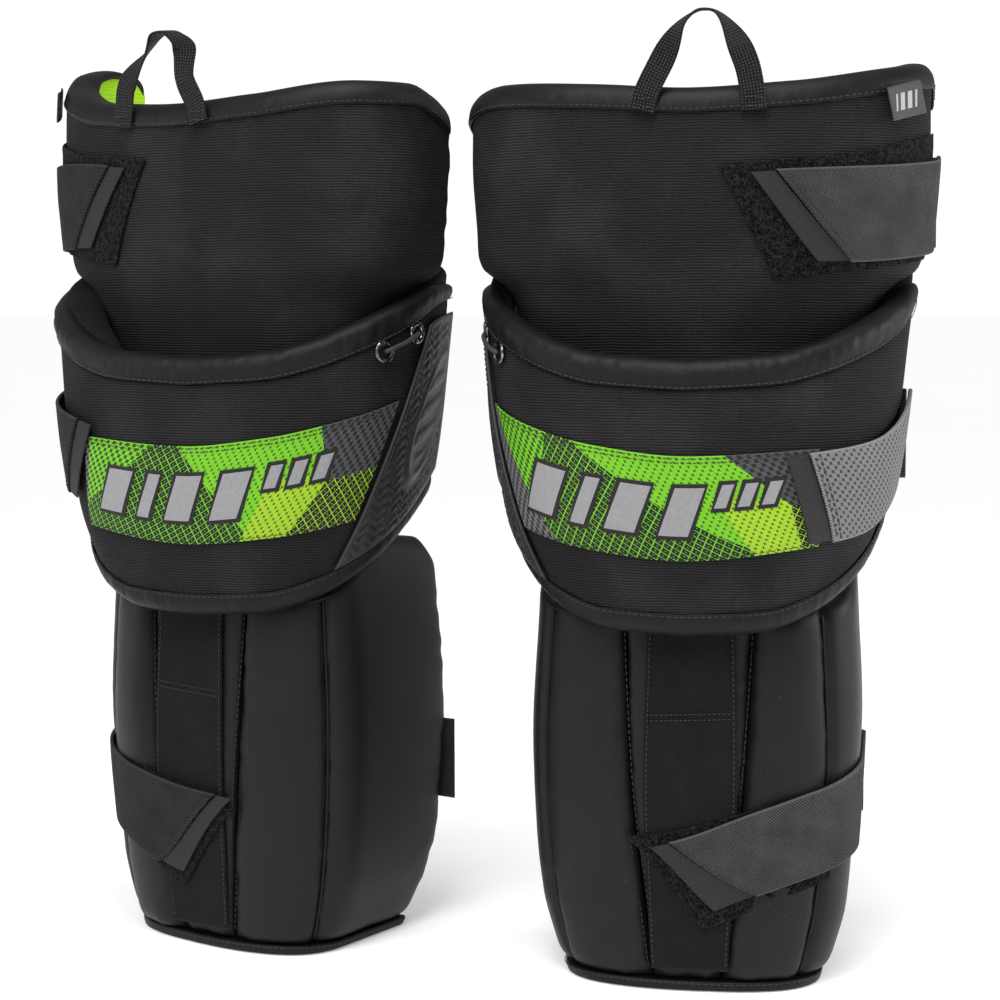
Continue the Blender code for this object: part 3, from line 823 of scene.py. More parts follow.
def edging(guard, edge, section, start, end, steps, seed, pucker=0.45, sides=40, taper=0.0):
    """A sewn roll along an edge. `section` is a loop of (out, distance above the edge)."""
    angle = np.linspace(start, end, steps)[:, None]
    out, rise = loop_curve(section, sides).T[:, None, :]
    slim = 1 - taper * np.clip((np.abs(angle) - 62.0) / 38.0, 0, 1) ** 1.5
    out, rise = out * slim, rise * slim
    along = angle * 1.9
    outside = np.clip(out / 3.0, 0, 1)
    wrinkle = noise(along / 5.0, rise / 9.0, seed) + 0.6 * noise(along / 2.3, rise / 7.0, seed + 1)
    out = out + pucker * wrinkle * outside + 0.5 * noise(along / 40.0, 0, seed + 2)
    height = beside(guard, edge, angle + 0 * rise, rise + 0 * angle)
    return tube(guard.at(angle + 0 * rise, height, out), dome=(0.5, 0.8, 0.95))


def sweep(path, normals, section, closed=False, scale=None, dome=()):
    """`section` (points of (side, normal)) carried along a path."""
    path, normals = np.array(path, float), np.array(normals, float)
    if closed:
        tangent = np.roll(path, -1, 0) - np.roll(path, 1, 0)
    else:
        tangent = np.gradient(path, axis=0)
    tangent /= np.linalg.norm(tangent, axis=1, keepdims=True)
    normals = normals - (normals * tangent).sum(1, keepdims=True) * tangent
    normals /= np.linalg.norm(normals, axis=1, keepdims=True)
    side = np.cross(tangent, normals)
    section = np.array(section, float)[None] * (1.0 if scale is None else scale[:, None, None])
    rings = (path[:, None] + section[..., :1] * side[:, None] + section[..., 1:] * normals[:, None])
    return tube(rings, dome=dome, closed=closed)


def oval(wide, tall, sides, power=1.0):
    """A loop round an oval. A power below 1 squares it."""
    turns = np.linspace(0, 2 * math.pi, sides, endpoint=False)
    c, s = np.cos(turns), np.sin(turns)
    return np.stack([wide * np.sign(c) * np.abs(c) ** power,
                     tall * np.sign(s) * np.abs(s) ** power], -1)


def resampled(path, count):
    """`count` points spaced evenly along a path."""
    walked = running(np.array(path, float)[None], 1)[0]
    at = np.linspace(0, walked[-1], count)
    return np.stack([np.interp(at, walked, axis) for axis in np.array(path, float).T], -1)


def stitches(path, normals, length, gap, radius):
    """A row of sewn stitches, each a small closed grain of thread."""
    path, normals = np.array(path, float), np.array(normals, float)
    walked = running(path[None], 1)[0]
    count = max(1, int(walked[-1] / (length + gap)))
    middle = (np.arange(count) + 0.5) * walked[-1] / count

    def pick(table, at):
        return np.stack([np.interp(at, walked, axis) for axis in table.T], -1)

    centre = pick(path, middle)
    tangent = pick(path, middle + length / 2) - pick(path, middle - length / 2)
    tangent /= np.linalg.norm(tangent, axis=1, keepdims=True)
    up = pick(normals, middle)
    up = up - (up * tangent).sum(1, keepdims=True) * tangent
    up /= np.linalg.norm(up, axis=1, keepdims=True)
    side = np.cross(tangent, up)
    along = np.array([-1.0, -0.75, 0.0, 0.75, 1.0]) * length / 2
    thick = np.array([0.35, 0.9, 1.0, 0.9, 0.35]) * radius
    lift = np.array([-0.7, 0.0, 0.35, 0.0, -0.7]) * radius
    cuts, sides = len(along), 6
    turns = np.linspace(0, 2 * math.pi, sides, endpoint=False)
    rings = (centre[:, None, None] + tangent[:, None, None] * along[:, None, None]
             + up[:, None, None] * (lift[:, None, None] + (thick[:, None] * np.sin(turns))[..., None])
             + side[:, None, None] * (thick[:, None] * np.cos(turns))[..., None])
    points = rings.reshape(-1, 3)
    start = (np.arange(count) * cuts * sides)[:, None]
    i, j = np.meshgrid(np.arange(cuts - 1) * sides, np.arange(sides), indexing="ij")
    after = (j + 1) % sides
    one = np.stack([i + j, i + after, i + sides + after, i + sides + j], -1)
    walls = (start[:, None] + one.reshape(1, -1, 4)).reshape(-1, 4)
    first = start + np.arange(sides)[::-1][None]
    last = start + (cuts - 1) * sides + np.arange(sides)[None]
    zero = np.zeros((len(points), 3))
    return points, [walls, first, last], {"cloth": zero, "trim": zero}


def line_on(guard, angle, height, out, count=300):
    """A line on a guard through the given angles and heights, with its outward directions."""
    share = np.linspace(0, 1, count)
    knots = np.linspace(0, 1, len(angle))
    angle, height = np.interp(share, knots, angle), np.interp(share, knots, height)
    path = guard.at(angle, height, out + 0 * angle)
    return path, guard.normal(angle, height)


# ---------------------------------------------------------------- the thigh guard

def softness(seed, amount, size=38.0):
    """Slow hollows and swellings of hand-sewn padding."""
    def relief(spot):
        slow = noise(spot.along / size, spot.height / size, seed)
        fast = noise(spot.along / (size * 0.4), spot.height / (size * 0.35), seed + 9)
        return amount * (slow + 0.35 * fast) * np.clip(spot.near / 10.0, 0, 1)
    return relief


def seam_puckers(seed, amount, reach=7.0, size=6.0):
    """Short gathers that run square to the sewn edges."""
    def relief(spot):
        sides = np.exp(-spot.side / reach) * noise(spot.height / size, spot.side / 30.0, seed)
        ends = np.exp(-spot.ends / reach) * noise(spot.along / size, spot.ends / 30.0, seed + 3)
        return amount * (sides + ends)
    return relief


def together(*reliefs):
    return lambda spot: sum(relief(spot) for relief in reliefs)


def add_thigh(pad):
    end = THIGH_END
    thigh_top = thigh_tops[pad.side]
    pad.add("thigh_shell", "thigh", "ribbed_knit",
            panel(thigh, -end, end, thigh_bottom, raised(thigh_top, -3.4), (-THIGH_FOAM, 0.0),
                  edge=5.0, lip=0.25, relief=together(softness(3, 0.28), seam_puckers(4, 0.7))), fill=0.8)
    pad.add("thigh_liner", "thigh", "green_liner",
            panel(thigh, -end, end, thigh_bottom, raised(thigh_top, -2.0),
                  (-THIGH_LINER, -THIGH_FOAM - GAP), edge=2.4, lip=0.3, under=softness(5, 0.5)), fill=0.6)
    facing = ((0.4, -11.2), (1.3, -11.0), (1.7, -8.8), (1.2, -4.8), (-0.4, -1.4), (-3.2, 1.0),
              (-8.0, 1.7), (-13.0, 1.2), (-16.6, -0.4), (-17.4, -2.6), (-16.9, -3.6), (-16.2, -2.2),
              (-13.0, -1.0), (-8.0, -0.8), (-3.4, -1.2), (-0.9, -3.6), (0.25, -6.5), (0.3, -9.5))
    pad.add("thigh_facing", "thigh", "smooth_knit",
            edging(thigh, thigh_top, facing, -end, end, 300, 11, sides=54), fill=0.3)
    angle = np.linspace(-end + 2, end - 2, 40)
    pad.sew("thigh", *line_on(thigh, angle, thigh_top(angle) - 9.7, 1.75))

    def patch_low(angle):
        return 380.0 + pad.sag + np.maximum(angle - 36, 0) * 0.25

    def patch_high(angle):
        return 438 + pad.sag + 0.12 * (angle - 13) + 0.3 * np.maximum(angle - 50, 0)

    pad.add("thigh_patch", "thigh", "loop_pile",
            panel(thigh, (36, 13), (84, 84), patch_low, patch_high, (0.9, 2.1), step=1.3, edge=0.9,
                  relief=pile(21)))
    add_tag(pad)
    add_loop(pad)


def pile(seed):
    """The uneven tufts of loop pile."""
    def relief(spot):
        tuft = noise(spot.along / 1.7, spot.height / 1.7, seed)
        tuft = tuft + noise(spot.along / 4, spot.height / 4, seed)
        return 0.16 * tuft * np.clip(spot.near / 0.8, 0, 1)
    return relief


def add_tag(pad):
    """The small folded label sewn over the top seam."""
    angle, height = (69.0, 465.0) if pad.side == "right" else (72.0, 478.0)
    here = (np.array(angle), np.array(height))
    out = thigh.normal(*here)
    across = thigh.at(angle + 1, height + 0.5) - thigh.at(angle - 1, height - 0.5)
    across /= np.linalg.norm(across)
    up = np.cross(out, across)
    x, z = np.meshgrid(np.linspace(-11.5, 11.5, 24), np.linspace(-8.5, 8.5, 18))
    curl = 0.9 * (x / 11.5) ** 2 - 0.6 * np.clip(z / 8.5, -1, 1)
    middle = thigh.at(angle, height, 3.6)
    face = middle + across * x[..., None] + up * z[..., None] + out * curl[..., None]
    spot = Spot(face, x, z)
    spot.along, spot.height = x, z
    mesh = quilt(face, out + 0 * face, spot, -0.7, 0.7, 1.0, 0.5)
    pad.add("size_tag", "thigh", "tag_knit", mesh)


def add_loop(pad):
    """The webbing pull loop, sewn by its feet to the top of the thigh guard."""
    inner, outer = -23.0, 33.0
    apex = 8.0 if pad.side == "right" else 0.0
    depth = 67.0
    knots = ((inner, 459.5), (inner + 3, 470), (inner + 10, 484), (apex - 13, 500), (apex - 6, 507),
             (apex, 509), (apex + 7, 507), (apex + 14, 498), (outer - 4, 483), (outer - 1, 470),
             (outer, 459.5))
    x, z = np.array(knots, float).T
    face = thigh.at(np.degrees(np.arctan2(x, depth)), np.minimum(z, 470.0), 3.2)[:, 1]
    path = np.stack([x, face, z], 1)
    along = np.linspace(0, len(knots) - 1, 160)
    i = np.clip(along.astype(int), 0, len(knots) - 2)
    t = (along - i)[:, None]
    spread = np.concatenate([2 * path[:1] - path[1:2], path, 2 * path[-1:] - path[-2:-1]])
    smooth = between_knots(*(spread[i + k] for k in range(4)), t)
    lift = np.clip((smooth[:, 2] - 484.0) / 24.0, 0, 1)
    outward = np.stack([(smooth[:, 0] - apex) * lift * 0.04, lift - 1.15, lift * 1.3], 1)
    mesh = sweep(smooth, outward, oval(6.35, 0.75, 40, 0.35))
    pad.add("pull_loop", "loop", "webbing", mesh)
    for foot in (inner, outer):
        for rise in (461.0, 465.5):
            x = np.linspace(foot - 4.5, foot + 4.5, 12)
            y = thigh.at(np.degrees(np.arctan2(x, depth)), rise, 4.2)[:, 1]
            row = np.stack([x, y, rise + 0 * x], 1)
            pad.sew("loop", row, np.array([(0.0, -1.0, 0.0)] * 12), length=1.6, gap=0.5, radius=0.35)


# ---------------------------------------------------------------- the knee cup

BAND_START, BAND_END = (-59, -72), (45, 43)
# The bars on each band: the angle of the middle, and the width in mm.
SLIM_BAR, WIDE_BAR = 6.5, 17.0
BARS = {
    "right": ((-46, WIDE_BAR), (-32, 8.0), (-18, WIDE_BAR), (0, WIDE_BAR),
              (14.0, SLIM_BAR), (21.5, SLIM_BAR), (29.0, SLIM_BAR)),
    "left": ((28, WIDE_BAR), (14, 8.0), (0, WIDE_BAR), (-18, WIDE_BAR),
             (-32.5, SLIM_BAR), (-40.0, SLIM_BAR), (-47.5, SLIM_BAR)),
}
# The gussets: the angle from the front where each starts, and its depth in mm.
GUSSETS = {
    "right": {"outer": (66.0, 15.0), "inner": (66.0, 15.0)},
    "left": {"outer": (30.0, 27.0), "inner": (66.0, 15.0)},
}


def add_cup(pad):
    end = CUP_END
    pad.add("cup_shell", "cup", "ribbed_knit",
            panel(cup, -end, end, cup_bottom, cup_top, (-CUP_FOAM, 0.0), edge=4.0, lip=0.4,
                  relief=together(softness(6, 0.25), seam_puckers(7, 0.6))), fill=0.8)
    pad.add("cup_liner", "cup", "foam",
            panel(cup, -end + 1, end - 1, raised(cup_bottom, 1), raised(cup_top, -1),
                  (-CUP_LINER, -CUP_CAP - GAP), edge=1.6, lip=0.4, under=softness(8, 0.5)), fill=0.6)
    upper = ((0.3, -1.0), (1.0, -1.1), (1.7, 0.4), (2.5, 3.0), (3.1, 6.0), (2.9, 9.2), (1.6, 11.8),
             (-1.0, 13.6), (-4.6, 14.4), (-8.6, 13.6), (-11.6, 11.0), (-12.8, 7.4), (-12.5, 3.9),
             (-10.6, 1.3), (-6.0, 0.6), (-1.4, 0.5), (0.1, 0.3), (0.25, -0.4))
    pad.add("cup_upper_rim", "cup", "smooth_knit",
            edging(cup, cup_top, upper, -end - 1, end + 1, 300, 31, taper=0.5), fill=0.9)
    lower = ((0.45, 3.6), (1.1, 3.6), (1.7, 2.0), (2.4, -0.2), (2.6, -2.6), (1.9, -5.2), (-0.2, -7.2),
             (-3.2, -8.2), (-7.2, -8.4), (-10.6, -7.2), (-11.8, -4.6), (-10.9, -1.8), (-7.0, -0.8),
             (-2.0, -0.7), (0.25, -0.5), (0.42, 1.6))
    pad.add("cup_lower_rim", "cup", "smooth_knit",
            edging(cup, cup_bottom, lower, -end - 1, end + 1, 300, 37), fill=0.9)
    angle = np.linspace(-end, end, 60)
    pad.sew("cup", *line_on(cup, angle, beside(cup, cup_top, angle, 0.0), 1.95, 500))
    pad.sew("cup", *line_on(cup, angle, beside(cup, cup_bottom, angle, 2.4), 1.8, 500))
    add_gussets(pad)
    add_band(pad)
    add_wing(pad)
    add_lacing(pad)


def add_gussets(pad):
    """Soft ribbed folds that cover the gap between the thigh guard and the horns of the cup.

    They have no solid of their own, and at rest they cut through the thigh guard.
    """
    for name, (first, depth) in GUSSETS[pad.side].items():
        rise = edge_curve(((first, 1.5), (first + 26.0, 15.0), (CUP_END, 17.0)))
        ends = (first, CUP_END) if name == "outer" else (-CUP_END, -first)
        pad.add(f"gusset_{name}", "cup", "ribbed_knit",
                panel(cup, *ends, raised(cup_top, 0.5), lambda angle: cup_top(angle) + rise(angle),
                      (-depth, -1.5), edge=5.0, lip=0.25, relief=softness(91, 0.4)), fill=0.7)


def add_band(pad):
    """The printed band and the plain slanting bars on it."""
    points, faces, attributes = panel(cup, BAND_START, BAND_END, band_low, band_high, (0.9, 1.9),
                                      step=1.8, edge=0.7, lip=0.4, relief=softness(41, 0.10, 20.0))
    left, below, above = attributes["trim"].T
    length = left.max()
    across = left if pad.side == "right" else length - left
    attributes["print"] = np.stack([across * BAND_LONG / length, below * BAND_TALL / (below + above),
                                    0 * left], -1)
    pad.add("graphic_band", "cup", "green_band", (points, faces, attributes))
    for rise, edge, start in ((1.3, band_low, -55), (-1.3, band_high, -66), (-3.4, band_high, -66)):
        angle = np.linspace(start, 42, 50)
        pad.sew("cup", *line_on(cup, angle, edge(angle) + rise, 2.05, 400),
                length=2.2, gap=0.8, radius=0.22)
    for k, (middle, wide) in enumerate(BARS[pad.side]):
        low, high = (0.24, 0.70) if wide > SLIM_BAR + 0.5 else (0.50, 0.72)
        half = wide / 3.4
        lean = -pad.mirror * 2.8 * (high - low) / 0.46
        for part, grow, layer, material in (("outline", 2.0, (2.0, 2.35), "bar_edge"),
                                            ("bar", 0.0, (2.45, 2.75), "bar_print")):
            room = grow / 1.75
            lift = grow / BAND_TALL
            pad.add(f"{part}_{k + 1}", "cup", material,
                    panel(cup, (middle - half - room + lean, middle - half - room - lean),
                          (middle + half + room + lean, middle + half + room - lean),
                          between(low - lift), between(high + lift), layer,
                          step=2.0, edge=0.3, lip=0.5))


def between(share):
    """A line at that share of the band's height."""
    return lambda angle: band_low(angle) + (band_high(angle) - band_low(angle)) * share


def wing_relief(spot):
    """Embossed wavy ridges round a plain raised oval with slanting bars."""
    x = (spot.angle + 88.0) * 1.83
    y = spot.height - 303.0
    tilt = math.atan2(0.43, 0.90)
    along = y * math.cos(tilt) - x * math.sin(tilt)
    across = x * math.cos(tilt) + y * math.sin(tilt)
    reach = np.sqrt((along / 37.0) ** 2 + (across / 12.5) ** 2)
    outside = np.clip((reach - 1.18) / 0.12, 0, 1)
    inside = np.clip((0.80 - reach) / 0.12, 0, 1)
    ridge = np.exp(-((reach - 1.0) / 0.10) ** 2)
    waves = np.sin(2 * math.pi * (spot.height + 1.7 * np.sin(2 * math.pi * spot.left / 11.0)) / 5.2)
    bars = np.clip(1.6 * np.sin(2 * math.pi * (along + across) / 17.0), -1, 1)
    border = np.clip((spot.near - 3.0) / 3.0, 0, 1)
    return border * (0.55 * waves * outside + 1.2 * ridge + 0.55 * bars * inside)


def add_wing(pad):
    low, high = raised(cup_bottom, 5), raised(cup_top, -8)
    pad.add("wing", "cup", "rubber",
            panel(cup, (-CUP_END, -CUP_END), (-54, -84), low, high, (1.2, 3.4), step=0.8, edge=1.6,
                  lip=0.3, relief=wing_relief))
    rise = np.linspace(0.04, 0.96, 40)
    angle = -54 - 30 * rise - 1.6
    height = low(angle) + (high(angle) - low(angle)) * rise
    pad.sew("cup", *line_on(cup, angle, height, 3.75), length=2.0)


def add_lacing(pad):
    """Two eyelets under the rim on the inner side, with one lace threaded through both."""
    spots = []
    for name, angle in (("front", -66.0), ("rear", -78.0)):
        height = cup_top(angle) - 7.0
        here = (np.array(angle), np.array(height))
        middle, out = cup.at(*here, 1.4), cup.normal(*here)
        along = cup.at(angle + 1, height) - cup.at(angle - 1, height)
        along /= np.linalg.norm(along)
        up = np.cross(out, along)
        turns = np.linspace(0, 2 * math.pi, 40, endpoint=False)
        ring = [middle + 4.9 * (math.cos(t) * along + math.sin(t) * up) for t in turns]
        pad.add(f"eyelet_{name}", "cup", "dark_steel",
                sweep(ring, [out] * len(ring), oval(1.35, 1.0, 14), True))
        spots.append((middle, out))
    (front, out_f), (rear, out_r) = spots
    path, normals = [], []
    for t in np.linspace(0, 1, 60):
        middle = front + (rear - front) * t
        out = out_f + (out_r - out_f) * t
        arch = math.sin(math.pi * t) ** 0.45 * 3.9 + 0.1
        path.append(middle + out * arch)
        normals.append(out + np.array((0.3, 0.3, 1.0)))
    pad.add("lace", "cup", "cord",
            sweep(resampled(path, 60), resampled(normals, 60), oval(1.2, 1.2, 16), dome=(0.5, 0.85)))


# ---------------------------------------------------------------- the shin guard

PIPING = {"inner": -72.0, "outer": 67.0}
OUTER_SWELL = {"right": 1.5, "left": 4.0}


def shin_swell(side, strap, extra=0.0):
    """A wing panel swells between its seams and dips at the piped seam across it."""
    middle = PIPING[side]

    def relief(spot):
        crease = np.abs(spot.angle - middle) * 1.45
        body = (1 - np.exp(-spot.side / 9.0)) * (1 - np.exp(-crease / 9.0))
        dip = 2.6 * np.exp(-(crease / 2.4) ** 2)
        held = np.exp(-((spot.height - 80.0) / 42.0) ** 2) if strap else 0.0
        gathers = np.exp(-spot.side / 10.0) * noise(spot.height / 7.0, spot.side / 25.0, 51)
        pinch = np.exp(-crease / 6.0) * noise(spot.height / 6.0, 0, 53)
        edge = np.exp(-spot.ends / 7.0) * noise(spot.along / 7.0, 0, 52)
        full = (2.3 + extra - 2.3 * held) * body
        return full - dip + 1.1 * gathers + 0.6 * pinch + 0.8 * edge
    return relief


def add_shin(pad):
    end = SHIN_END
    low, high = SEAM
    layer = (-SHIN_FOAM, 0.0)
    pad.add("shin_front", "shin", "nylon",
            panel(shin, (0.4 - low, 0.4 - high), (low - 0.4, high - 0.4), SHIN_FLOOR, shin_top,
                  layer, edge=7.0, lip=0.35,
                  relief=together(softness(61, 0.3), seam_puckers(62, 0.9, 6.0, 5.0))), fill=0.8)
    pad.add("shin_wing_inner", "shin", "nylon",
            panel(shin, -end, (-low - 0.4, -high - 0.4), SHIN_FLOOR, shin_top, layer, edge=9.0, lip=0.3,
                  relief=shin_swell("inner", False)), fill=0.85)
    pad.add("shin_wing_outer", "shin", "nylon",
            panel(shin, (low + 0.4, high + 0.4), end, SHIN_FLOOR, shin_top, layer, edge=9.0, lip=0.3,
                  relief=shin_swell("outer", True, OUTER_SWELL[pad.side])), fill=0.85)
    pad.add("shin_liner", "shin", "foam",
            panel(shin, -end + 2, end - 2, SHIN_FLOOR, raised(shin_top, -2),
                  (-SHIN_LINER, -SHIN_PLATE - GAP), edge=2.4, lip=0.3, under=softness(63, 0.6)), fill=0.6)
    for side, middle in PIPING.items():
        rise = np.linspace(9.0, float(shin_top(middle)) - 4.0, 140)
        path, out = line_on(shin, np.full(140, middle), rise, -1.5, 140)
        pad.add(f"shin_piping_{side}", "shin", "smooth_knit",
                sweep(path, out, oval(0.95, 0.95, 12), dome=(0.4, 0.8)))
        shift = 1.6 if side == "outer" else -1.6
        height = np.linspace(10, rise[-1] - 6, 60)
        pad.sew("shin", *line_on(shin, np.full(60, middle + shift), height, -1.6))
    climb, count = 80, 170
    bend = np.linspace(0, math.pi / 2, 30)
    angle = np.concatenate([np.full(climb, -128.0), -118.0 - 10.0 * np.cos(bend),
                            np.linspace(-117, -64, 60)])
    top = shin_top(angle) - 4.5
    rise = np.where(np.arange(count) < climb, np.linspace(9.0, 205.0, count) * 2.0, top)
    rise = np.minimum(rise, top - 14.0 * np.clip((-118.0 - angle) / 10.0, 0, 1) ** 2.5)
    path, out = line_on(shin, angle, rise, 0.0, count)
    pad.add("shin_piping_edge", "shin", "smooth_knit",
            sweep(resampled(path, count), resampled(out, count), oval(1.1, 1.1, 12),
                  dome=(0.4, 0.8)))
    for sign in (-1, 1):
        for offset in (-2.4, 2.4):
            angle = sign * np.linspace(low, high, 60) + offset
            height = np.linspace(11.0, 192.0, 60)
            pad.sew("shin", *line_on(shin, angle, height, -1.6))
    hem = ((0.2, 5.0), (1.3, 4.6), (1.9, 2.9), (1.9, 1.2), (1.1, 0.1), (-6.0, 0.0), (-18.0, 0.0),
           (-24.0, 0.1), (-25.0, 1.4), (-25.0, 3.2), (-24.2, 4.8), (-18.0, 4.9), (-6.0, 4.9))
    pad.add("shin_hem", "shin", "smooth_knit",
            edging(shin, lambda a: 0.0 * a, hem, -end, end, 260, 71, pucker=0.15))
    angle = np.linspace(-end + 2, end - 2, 50)
    pad.sew("shin", *line_on(shin, angle, 3.9 + 0 * angle, 1.75, 400))
    pad.add("shin_elastic", "shin", "front_elastic",
            panel(shin, -25, 29, 11.5, 217.0, (1.0, 2.3), step=1.8, edge=0.8, lip=0.4,
                  relief=softness(72, 0.15, 30.0)))
    for height in (146.0, 149.0):
        pad.sew("shin", *line_on(shin, [-22, 26], [height, height + 2.0], 2.5), length=1.9, gap=0.6)
    for angle in (-23.2, 27.2):
        pad.sew("shin", *line_on(shin, [angle, angle], [14.0, 214.0], 2.4), length=2.0)
    patch_low = smooth_curve(((-34, 30), (0, 32), (70, 60)))
    patch_high = smooth_curve(((-34, 84), (0, 90), (70, 112)))
    pad.add("calf_patch", "shin", "loop_pile",
            panel(shin, (12, -34), (70, 70), patch_low, patch_high, calf_patch_layer, step=1.3,
                  edge=0.8, relief=pile(22)))


# ---------------------------------------------------------------- straps and tabs

def calf_patch_layer(angle):
    """The patch lies on the front elastic and steps down to the shin beside it."""
    step = np.clip((np.abs(angle) - 35.0) / 5.0, 0, 1)
    return 2.7 - 1.9 * step, 4.0 - 2.2 * step


def calf_tab_layer(angle):
    step = np.clip((np.abs(angle) - 46.0) / 12.0, 0, 1)
    inner = 5.2 - (5.2 - TAB_OUT) * step
    return inner, inner + STRAP_THICK


def plain_tab_layer(angle):
    return TAB_OUT + 0 * angle, TAB_OUT + STRAP_THICK + 0 * angle


def near_end(guard, height, back):
    """The angle at which a guard's side wall reaches a given y."""
    wide = guard.half(np.array(height))
    return 90.0 + math.degrees(math.atan2(back - MIDDLE_Y, float(wide)))


# Straps: name, guard, end of its side wall, low and high edge, how far in the strap starts, and
# the inner and outer face of its tab.
STRAPS = (
    ("thigh", thigh, THIGH_END, 393.0, 441.0, 17.0, plain_tab_layer),
    ("knee", cup, CUP_END, 270.0, 318.0, 17.0, plain_tab_layer),
    ("calf", shin, SHIN_END, 74.0, 121.0, 0.0, calf_tab_layer),
)
# Tabs: angle of the tip at the low and high edge, the two edges, and how far the hook end shows.
TABS = {
    "right": {
        "thigh": (48.0, 25.0, ((22, 382), (60, 384), (80, 388), (96, 393)),
                  ((22, 429), (60, 432), (80, 436), (96, 441)), (9.0, 8.5)),
        "knee": (41.0, 33.0, ((31, 240), (60, 246), (90, 270)),
                 ((31, 287), (60, 294), (90, 318)), (8.0, 6.5)),
        "calf": (19.0, -21.0, ((-21, 34), (5, 40), (60, 63), (90, 74), (118, 74)),
                 ((-21, 80), (5, 87), (60, 110), (90, 121), (118, 121)), (22.0, 11.0)),
    },
    "left": {
        "thigh": (47.0, 24.0, ((22, 391), (60, 394), (90, 393)),
                  ((22, 438), (60, 442), (90, 441)), (9.0, 8.5)),
        "knee": (50.0, 38.0, ((38, 251), (60, 258), (90, 270)),
                 ((38, 298), (60, 306), (90, 318)), (8.0, 6.5)),
        "calf": (10.0, -33.0, ((-33, 42), (5, 42), (56, 56), (90, 70), (118, 74)),
                 ((-33, 91), (5, 94), (56, 104), (90, 117), (118, 121)), (20.0, 10.0)),
    },
}


def ribbon(path, low, high, thick, relief=None):
    """An upright strap that follows a level path of (x, y) points."""
    path = np.array(path, float)
    z = low + (high - low) * stations(high - low, 2.0, 0.9)
    x, y = path.T
    face = np.stack([x[None] + 0 * z[:, None], y[None] + 0 * z[:, None], z[:, None] + 0 * x[None]], -1)
    tangent = np.gradient(path, axis=0)
    tangent /= np.linalg.norm(tangent, axis=1, keepdims=True)
    normal = np.stack([-tangent[:, 1], tangent[:, 0], 0 * x], -1)[None] + 0 * face
    spot = Spot(face, x[None] + 0 * z[:, None], face[..., 2])
    return quilt(face, normal, spot, -thick / 2, thick / 2, 0.9, 0.4, relief)


def soft_weave(spot):
    """Slight waves along a strap."""
    return 0.18 * noise(spot.left / 16.0, spot.height / 16.0, 81)


def add_strap(pad, name, cloth, side, near, low, high, hidden):
    """A strap across the back, from inside the guard's inner wall round its outer one."""
    inner, outer = -side - 5.0, side + TAB_OUT + STRAP_THICK
    back = near + STRAP_THICK / 2
    radius = 1.0
    x = np.linspace(inner + hidden, outer - radius - STRAP_THICK / 2, 110)
    share = (x - inner) / (outer - inner)
    y = back + 1.6 * np.sin(math.pi * share) ** 2
    turns = np.linspace(0, math.pi / 2, 8)[1:]
    corner = [(x[-1] + radius * math.sin(t), back - radius + radius * math.cos(t)) for t in turns]
    pad.add(f"{name}_strap", f"{name}_strap", cloth,
            ribbon(list(zip(x, y)) + corner, low, high, STRAP_THICK, soft_weave))
    for inset in (3.0, 9.0):
        row = np.array([(inner + hidden + inset, near + STRAP_THICK + 0.1, z)
                        for z in np.linspace(low + 3, high - 3, 20)])
        pad.sew(f"{name}_strap", row, np.array([(0.0, 1.0, 0.0)] * 20))


def add_tab(pad, name, guard, cloth, tab_end, layer):
    """A strap's tab along the guard's outer side, with its hook end showing at the tip."""
    tip_low, tip_high, low_knots, high_knots, hook = TABS[pad.side][name]
    tab_low, tab_high = smooth_curve(low_knots), smooth_curve(high_knots)
    cut = (tip_low + hook[0], tip_high + hook[1])
    pad.add(f"{name}_tab", f"{name}_tab", cloth,
            panel(guard, cut, (tab_end, tab_end), tab_low, tab_high, layer, step=1.8, edge=0.8,
                  lip=0.4, relief=softness(82, 0.12, 24.0)))

    def hook_layer(angle):
        return layer(angle)[0] - 0.3, layer(angle)[0] + 0.9

    pad.add(f"{name}_hook", f"{name}_tab", "hook",
            panel(guard, (tip_low, tip_high), (cut[0] - 0.3, cut[1] - 0.3), raised(tab_low, 0.8),
                  raised(tab_high, -0.8), hook_layer, step=1.8, edge=0.6, lip=0.5))
    for inset in (1.6, 4.4):
        share = np.linspace(0.05, 0.95, 30)
        angle = cut[0] + (cut[1] - cut[0]) * share + inset / 1.8
        height = tab_low(angle) + (tab_high(angle) - tab_low(angle)) * share
        pad.sew(f"{name}_tab", *line_on(guard, angle, height, layer(angle)[1].mean() + 0.1),
                length=2.0, gap=0.6)


def add_straps(pad):
    """The three straps with their tabs. The left pad's knee tab is of plain elastic."""
    # The left pad's straps and tabs take the darker copy of the elastic.
    cloth = "elastic" if pad.side == "right" else "darker_elastic"
    for name, guard, end, low, high, hidden, layer in STRAPS:
        middle = (low + high) / 2
        side, back = guard.face(np.array(end), np.array(middle))[:2]
        near = back + 0.8
        add_strap(pad, name, cloth, side, near, low, high, hidden)
        tab_cloth = "grey_tab" if name == "knee" and pad.side == "right" else cloth
        add_tab(pad, name, guard, tab_cloth, near_end(guard, middle, near - 1.2), layer)


# ---------------------------------------------------------------- camera, floor and light

CAMERA_AT = (0.0112, -1.2437, 0.360)
CAMERA_TILT = 4.9
LENS, SENSOR = 79.9, 36.0
FLOOR_GLOW = 0.26
SEEN_WORLD, LIT_WORLD = 1.05, 0.36
AIM = (0.0, -0.05, 0.27)


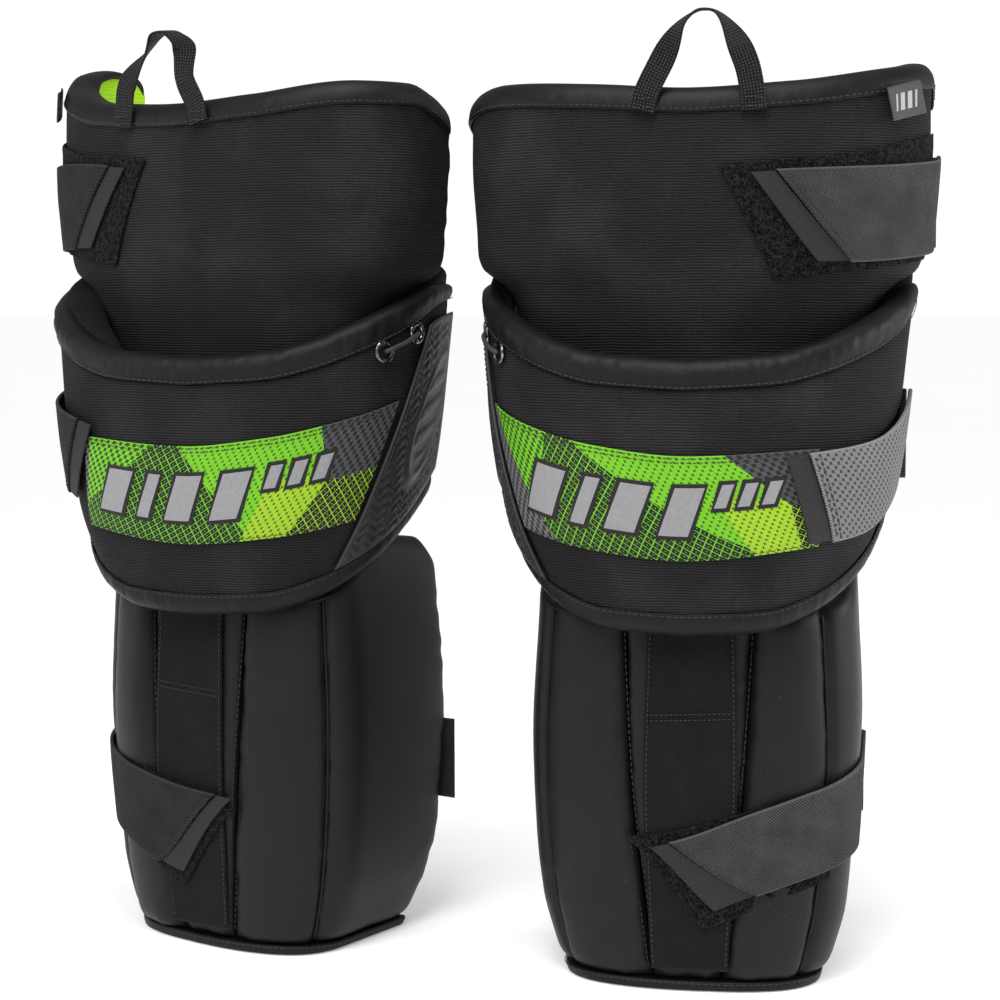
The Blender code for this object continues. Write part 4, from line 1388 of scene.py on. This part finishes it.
def add_stage():
    """A camera that looks slightly down, a pale floor and soft light from the front."""
    scene = bpy.context.scene
    camera = bpy.data.objects.new("camera", bpy.data.cameras.new("camera"))
    camera.data.sensor_width = SENSOR
    camera.data.lens = LENS
    camera.location = CAMERA_AT
    camera.rotation_euler = (math.radians(90 - CAMERA_TILT), 0, 0)
    scene.collection.objects.link(camera)
    scene.camera = camera
    scene.view_settings.view_transform = "Standard"

    floor_mesh = bpy.data.meshes.new("floor")
    reach, drop = 150.0, -0.0005
    corners = [(-reach, -reach, drop), (reach, -reach, drop), (reach, reach, drop),
               (-reach, reach, drop)]
    floor_mesh.from_pydata(corners, [], [(0, 1, 2, 3)])
    g = Graph("floor")
    colour = g.mix(g.noise(900.0), (0.90, 0.90, 0.90), (0.93, 0.93, 0.93))
    floor_mesh.materials.append(g.finish(colour, 0.8, specular=0.1))
    g.shader.inputs["Emission Color"].default_value = WHITE
    g.shader.inputs["Emission Strength"].default_value = FLOOR_GLOW
    floor = bpy.data.objects.new("floor", floor_mesh)
    scene.collection.objects.link(floor)

    world = bpy.data.worlds.new("studio")
    world.use_nodes = True
    tree = world.node_tree
    seen, lit = tree.nodes["Background"], tree.nodes.new("ShaderNodeBackground")
    for node, strength in ((seen, SEEN_WORLD), (lit, LIT_WORLD)):
        node.inputs["Strength"].default_value = strength
        node.inputs["Color"].default_value = WHITE
    path, mixed = tree.nodes.new("ShaderNodeLightPath"), tree.nodes.new("ShaderNodeMixShader")
    tree.links.new(path.outputs["Is Camera Ray"], mixed.inputs[0])
    tree.links.new(lit.outputs[0], mixed.inputs[1])
    tree.links.new(seen.outputs[0], mixed.inputs[2])
    tree.links.new(mixed.outputs[0], tree.nodes["World Output"].inputs["Surface"])
    scene.world = world

    add_light("key", "SUN", (-0.30, -0.75, 1.0), 2.0, math.radians(40))
    add_light("left_edge", "AREA", (-1.2, -0.2, 0.55), 2.5, 0.6)
    add_light("right_edge", "AREA", (1.2, -0.2, 0.55), 8.0, 0.6)
    add_light("top", "AREA", (0.0, -0.5, 1.4), 7.0, 0.5)


def add_light(name, kind, place, power, size):
    """A lamp at `place` that points at the middle of the pads."""
    light = bpy.data.lights.new(name, kind)
    light.energy = power
    if kind == "SUN":
        light.angle = size
    else:
        light.shape = "DISK"
        light.size = size
    lamp = bpy.data.objects.new(name, light)
    lamp.location = place
    aim = np.array(AIM) - np.array(place)
    level = math.hypot(aim[0], aim[1])
    lamp.rotation_euler = (math.atan2(level, -aim[2]), 0.0, math.atan2(aim[1], aim[0]) - math.pi / 2)
    bpy.context.collection.objects.link(lamp)


add_stage()
for spec in PADS:
    pad = Pad(**spec)
    add_shin(pad)
    add_cup(pad)
    add_thigh(pad)
    add_straps(pad)
    pad.add_seams()
    for node in ("cup_cap", "shin_plate"):
        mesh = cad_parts[f"{pad.side}_{node}"].data
        mesh.materials.clear()
        mesh.materials.append(MATERIALS["plate_plastic"])
